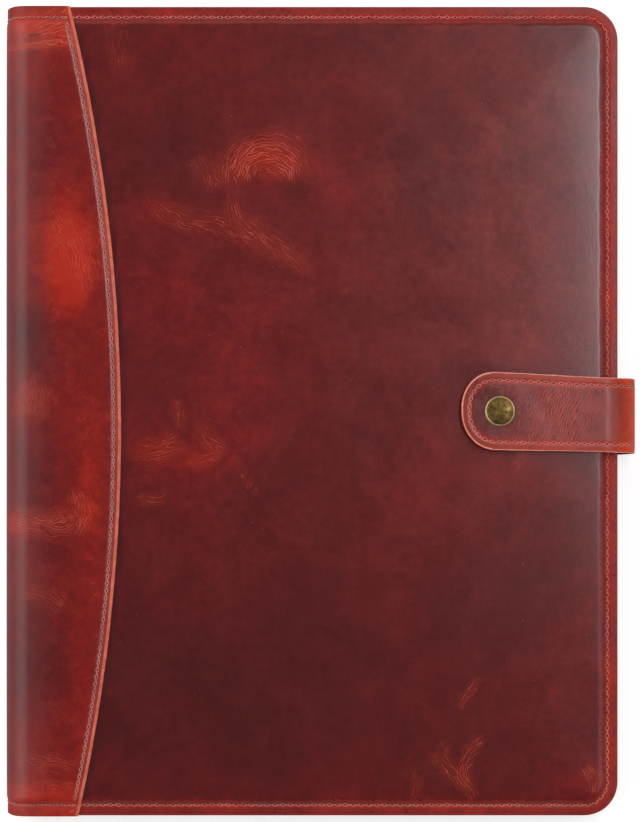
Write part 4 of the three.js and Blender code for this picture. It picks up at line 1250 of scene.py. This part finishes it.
def press_stud_cap():
    """A domed cap with a groove inside its rim, and the shank that holds it in the strap."""
    top, foot, radius = 25.9, 24.35, 6.1
    dome = [(r, top - 0.42 * (r / 5.2) ** 2) for r in (0.0, 0.8, 1.8, 2.9, 4.0, 4.8)]
    rim = [(5.25, top - 0.5), (5.4, top - 0.56), (5.55, top - 0.5), (5.8, top - 0.5), (6.0, top - 0.66),
           (radius, top - 0.95), (radius - 0.02, top - 1.25), (5.9, foot)]
    shank = [(1.5, foot), (1.4, foot - 0.2), (1.4, 21.5), (0.0, 21.5)]
    cap = spun("press_stud_cap", dome + rim + shank, STUD_X, 48, BRASS)
    x, y, z = points_of(cap).T / MM
    # The rim's top is painted bright: rubbed wear, and a painted highlight where its bevel catches the light.
    mark(cap, "rubbed_and_highlight", 0.75 * bell(np.hypot(x - STUD_X, y), 5.8, 0.3) * (z > 25.2))
    put(cap, "aged_brass", body="strap_flap", nodes=["snap_cap"])


press_stud_cap()


# Inside: pockets and pen loop on the front cover, sleeve and writing pad on the back cover

def three_sides(low, high, seam, cut=0):
    """The line of a seam from a box's mouth down one side, along its foot and up the other."""
    left, right, foot, mouth = low[0] + seam, high[0] - seam, low[1] + seam, high[1] - 0.8
    corners = [(left, foot + cut), (left + cut, foot), (right - cut, foot), (right, foot + cut)]
    return [(left, mouth)] + corners + [(right, mouth)]


def pocket(node):
    """A pocket on the inside of the front cover, sewn at its sides and foot, its mouth turned in."""
    low, high = box_of(node)
    cut_at = POCKET_CUTS[node]
    x, y, inset, sewn = flat_net(low, high, POCKET_STEPS, 3.4)
    bulge = np.maximum(0.12 * smooth((sewn - 2) / 8) * ripple(x / 30 + y / 19, cut_at), -0.1)
    face = low[2] + 0.12 + rounded(inset, 0.25) + seam_groove(sewn, POCKET_SEAM, 0.2, 0.5) - bulge
    face = np.maximum(face - 0.1 * bell(high[1] - y, 1.2, 0.9), low[2])
    back = high[2] - rounded(inset, 0.15)
    piece = sheet_of(f"{node}_leather", x, y, back, face, level)
    mark_and_dress_lining(piece, x, y, cut_at)
    put(piece, "lining_leather", body="front_cover", nodes=[node])
    line = three_sides(low, high, POCKET_SEAM)
    flat_seam(f"{node}_leather_stitches", line, low[2] + 0.3, -1.0, "front_cover")


for node_name in POCKET_CUTS:
    pocket(node_name)


def pen_loop():
    """A loop of lining leather for a pen: a strip that starts with a sewn tail and goes once round."""
    radius, height_z, wall, half_length = 3.75, 10.5, 0.45, 23
    left, right, tail = -114.65, -110.45, -97.25
    last_turn = 2.55
    seam_left, seam_right, seam_end, seam_z = -103.5, -99.3, 21, 13.86
    path = [(x, height_z + radius) for x in np.linspace(tail, left, 16)]
    path += arc((left, height_z), radius, 0, -math.pi, 19)
    path += [(x, height_z - radius) for x in np.linspace(left, right, 5)[1:]]
    path += arc((right, height_z), radius, math.pi, math.pi - last_turn, 15)
    rows = np.array(from_both_ends(half_length, [0, 0.15, 0.5, 1.2], 2.2))
    half = (wall - rounded(half_length - np.abs(rows), 0.2))[:, None]
    piece, y = strip("pen_loop_leather", path, rows, half, lambda across, x, z: level(x, across, z))
    run = np.repeat(np.arange(len(path))[None] * 1.1, len(rows), 0)
    mark_and_dress_lining(piece, run, y, PEN_LOOP_CUT)
    put(piece, "lining_leather", body="front_cover", nodes=["pen_loop"])
    line = [(seam_left, -seam_end), (seam_right, -seam_end), (seam_right, seam_end), (seam_left, seam_end)]
    flat_seam("pen_loop_stitches", line, seam_z, -1.0, "front_cover", lift=0.0, closed=True)


pen_loop()


def sleeve():
    """The sleeve that the pad's backing slides into: sewn down at three sides, open at its mouth."""
    low, high = box_of("pad_sleeve")
    x, y, _, sewn = flat_net(low, high, SLEEVE_STEPS, 3.4, round_top=False)
    from_mouth = high[1] - y
    raised = high[2] - 0.9 - low[2]
    bottom = low[2] + raised * smooth((sewn - 2.0) / 1.5)
    edge = rounded(sewn, 0.25) + rounded(from_mouth, 0.25)
    lip = np.minimum(0.04, 0.1 * bell(from_mouth, 1.4, 0.9))
    top = bottom + 0.86 - edge + lip - seam_groove(sewn, SLEEVE_SEAM, 0.2, 0.4)
    piece = sheet_of("pad_sleeve_leather", x, y, np.minimum(top, high[2]), bottom, level)
    mark_and_dress_lining(piece, x, y, SLEEVE_CUT)
    put(piece, "lining_leather", body="back_cover", nodes=["pad_sleeve"])
    line = three_sides(low, high, SLEEVE_SEAM, cut=6)
    flat_seam("pad_sleeve_stitches", line, low[2] + 0.62, 1.0, "back_cover")


sleeve()


def writing_pad():
    """The pad's sheets, as a few slightly uneven sections."""
    low, high = box_of("notepad_sheets")
    sections = 9
    thick = (high[2] - low[2]) / sections
    made = []
    for index in range(sections):
        bpy.ops.mesh.primitive_cube_add(size=1)
        section = bpy.context.object
        slip = 0.22 * math.sin(index * 2.7 + 0.4)
        inset = 0.25 * (1 - math.cos(index * 1.9)) / 2
        size = (high[0] - low[0] - 2 * inset, high[1] - low[1] - 0.5, thick - 0.02)
        middle = ((high[0] + low[0]) / 2, slip * 0.5, low[2] + (index + 0.5) * thick)
        bpy.ops.transform.resize(value=[v * MM for v in size])
        bpy.ops.transform.translate(value=[v * MM for v in middle])
        bpy.ops.object.transform_apply(location=True, rotation=True, scale=True)
        edge = section.modifiers.new("edge", "BEVEL")
        edge.width = 0.1 * MM
        edge.segments = 2
        bpy.ops.object.modifier_apply(modifier=edge.name)
        made.append(section)
    for section in made:
        section.select_set(True)
    bpy.ops.object.join()
    block = bpy.context.object
    block.name = block.data.name = "writing_pad_sheets"
    block.data.materials.append(PAPER)
    shade(block, 40)
    put(block, "paper", body="notepad", nodes=["notepad_sheets"])


def pad_tape():
    """The cloth tape over the pad's gummed head: round at the top, with a small bend at the foot."""
    low, high = box_of("notepad_binding")
    half, top_radius, foot_radius = 0.15, 1.2, 0.5
    head, top, bottom = high[1] - half, high[2] - half, low[2] + half
    path = [(y, top) for y in np.linspace(low[1], head - top_radius, 8)]
    path += arc((head - top_radius, top - top_radius), top_radius, 0, math.pi / 2, 7)
    path += [(head, z) for z in np.linspace(top - top_radius, bottom + foot_radius, 7)[1:]]
    path += arc((head - foot_radius, bottom + foot_radius), foot_radius, math.pi / 2, math.pi, 5)
    path += [(y, bottom) for y in np.linspace(head - foot_radius, low[1], 8)[1:]]
    left, right = low[0] + 0.3, high[0] - 0.3
    rows = np.array([low[0], left] + spread(left, right, 8) + [right, high[0]])
    tape, _ = strip("writing_pad_tape", path, rows, -half, level)
    tape.data.materials.append(TAPE)
    shade(tape, 40)
    put(tape, "binding_tape", body="notepad", nodes=["notepad_binding"])


writing_pad()
pad_tape()


# What stays as the CAD made it
CARRIED_OVER = {
    "front_board": GREY_BOARD, "back_board": GREY_BOARD, "notepad_backing": GREY_BOARD,
    "snap_stud": BRASS, "snap_post": BRASS, "snap_socket": BRASS, "snap_spring": BRASS,
}
for node_name, finish in CARRIED_OVER.items():
    for material_slot in frame["nodes"][node_name].material_slots:
        material_slot.material = finish


# Floor, light and world

def floor():
    """White paper, which the camera sees brighter than it lights the folder."""
    bpy.ops.mesh.primitive_plane_add(size=12, location=(0, 0, -0.0002))
    ground = bpy.context.object
    ground.name = "floor"
    f = new_finish("white_paper_floor")
    seen = f.add("LightPath", output="Is Camera Ray")
    paper = f.add("BsdfDiffuse", {"Color": colour("#c9c9c9")})
    glow = f.add("Emission", {"Color": (1, 1, 1, 1), "Strength": 0.62})
    clear = f.add("BsdfTransparent", {"Color": (0, 0, 0, 1)})
    lit = f.add("MixShader", {0: seen, 1: clear, 2: glow})
    both = f.add("AddShader", {0: paper, 1: lit})
    f.add("OutputMaterial", {"Surface": both})
    ground.data.materials.append(f.owner)


def softbox(name, place, aim, size, power):
    lamp = bpy.data.lights.new(name, "AREA")
    lamp.shape = "RECTANGLE"
    lamp.size, lamp.size_y = size
    lamp.energy = power
    stand = bpy.data.objects.new(name, lamp)
    stand.location = place
    x, y, z = np.array(aim, float) - np.array(place, float)
    stand.rotation_euler = (math.atan2(y, math.hypot(x, z)), -math.atan2(x, -z), 0)
    bpy.context.scene.collection.objects.link(stand)


def studio():
    """A dim ceiling over pale walls; what the camera and shiny things see of the walls is white."""
    world = bpy.data.worlds.new("studio")
    bpy.context.scene.world = world
    f = Finish(world)
    upward = f.add("SeparateXYZ", {0: f.add("TexCoord", output="Generated")}, output="Z")
    even_light = f.add("MapRange", {0: upward, 1: 0.2, 2: 1.0, 3: 0.5, 4: 0.25}, **RANGE)
    seen_light = f.add("MapRange", {0: upward, 1: 0.0, 2: 0.5, 3: 1.0, 4: 0.08}, **RANGE)
    ray = f.add("LightPath").node.outputs
    seen = f.add("Math", {0: ray["Is Camera Ray"], 1: ray["Is Glossy Ray"]}, **LARGER)
    seen = f.add("Math", {0: seen, 1: ray["Is Transmission Ray"]}, **LARGER)
    share = f.add("Mix", {0: seen, 2: even_light, 3: seen_light}, data_type="FLOAT")
    glow = f.add("Background", {"Color": (1, 1, 1, 1), "Strength": share})
    f.add("OutputWorld", {"Surface": glow})


floor()
softbox("right softbox", (1.0, 0.3, 1.3), (0, 0, 0), (1.3, 1.8), 7.5)
softbox("head softbox", (0.1, 1.7, 1.3), (0, 0, 0), (2.2, 1.0), 5)
softbox("left softbox", (-0.9, 0.2, 0.8), (-0.1, 0, 0), (1.0, 1.8), 12)
softbox("upper right sheen", (0.28, 0.18, 0.95), (0.08, 0.05, 0), (0.17, 0.4), 1.9)
studio()
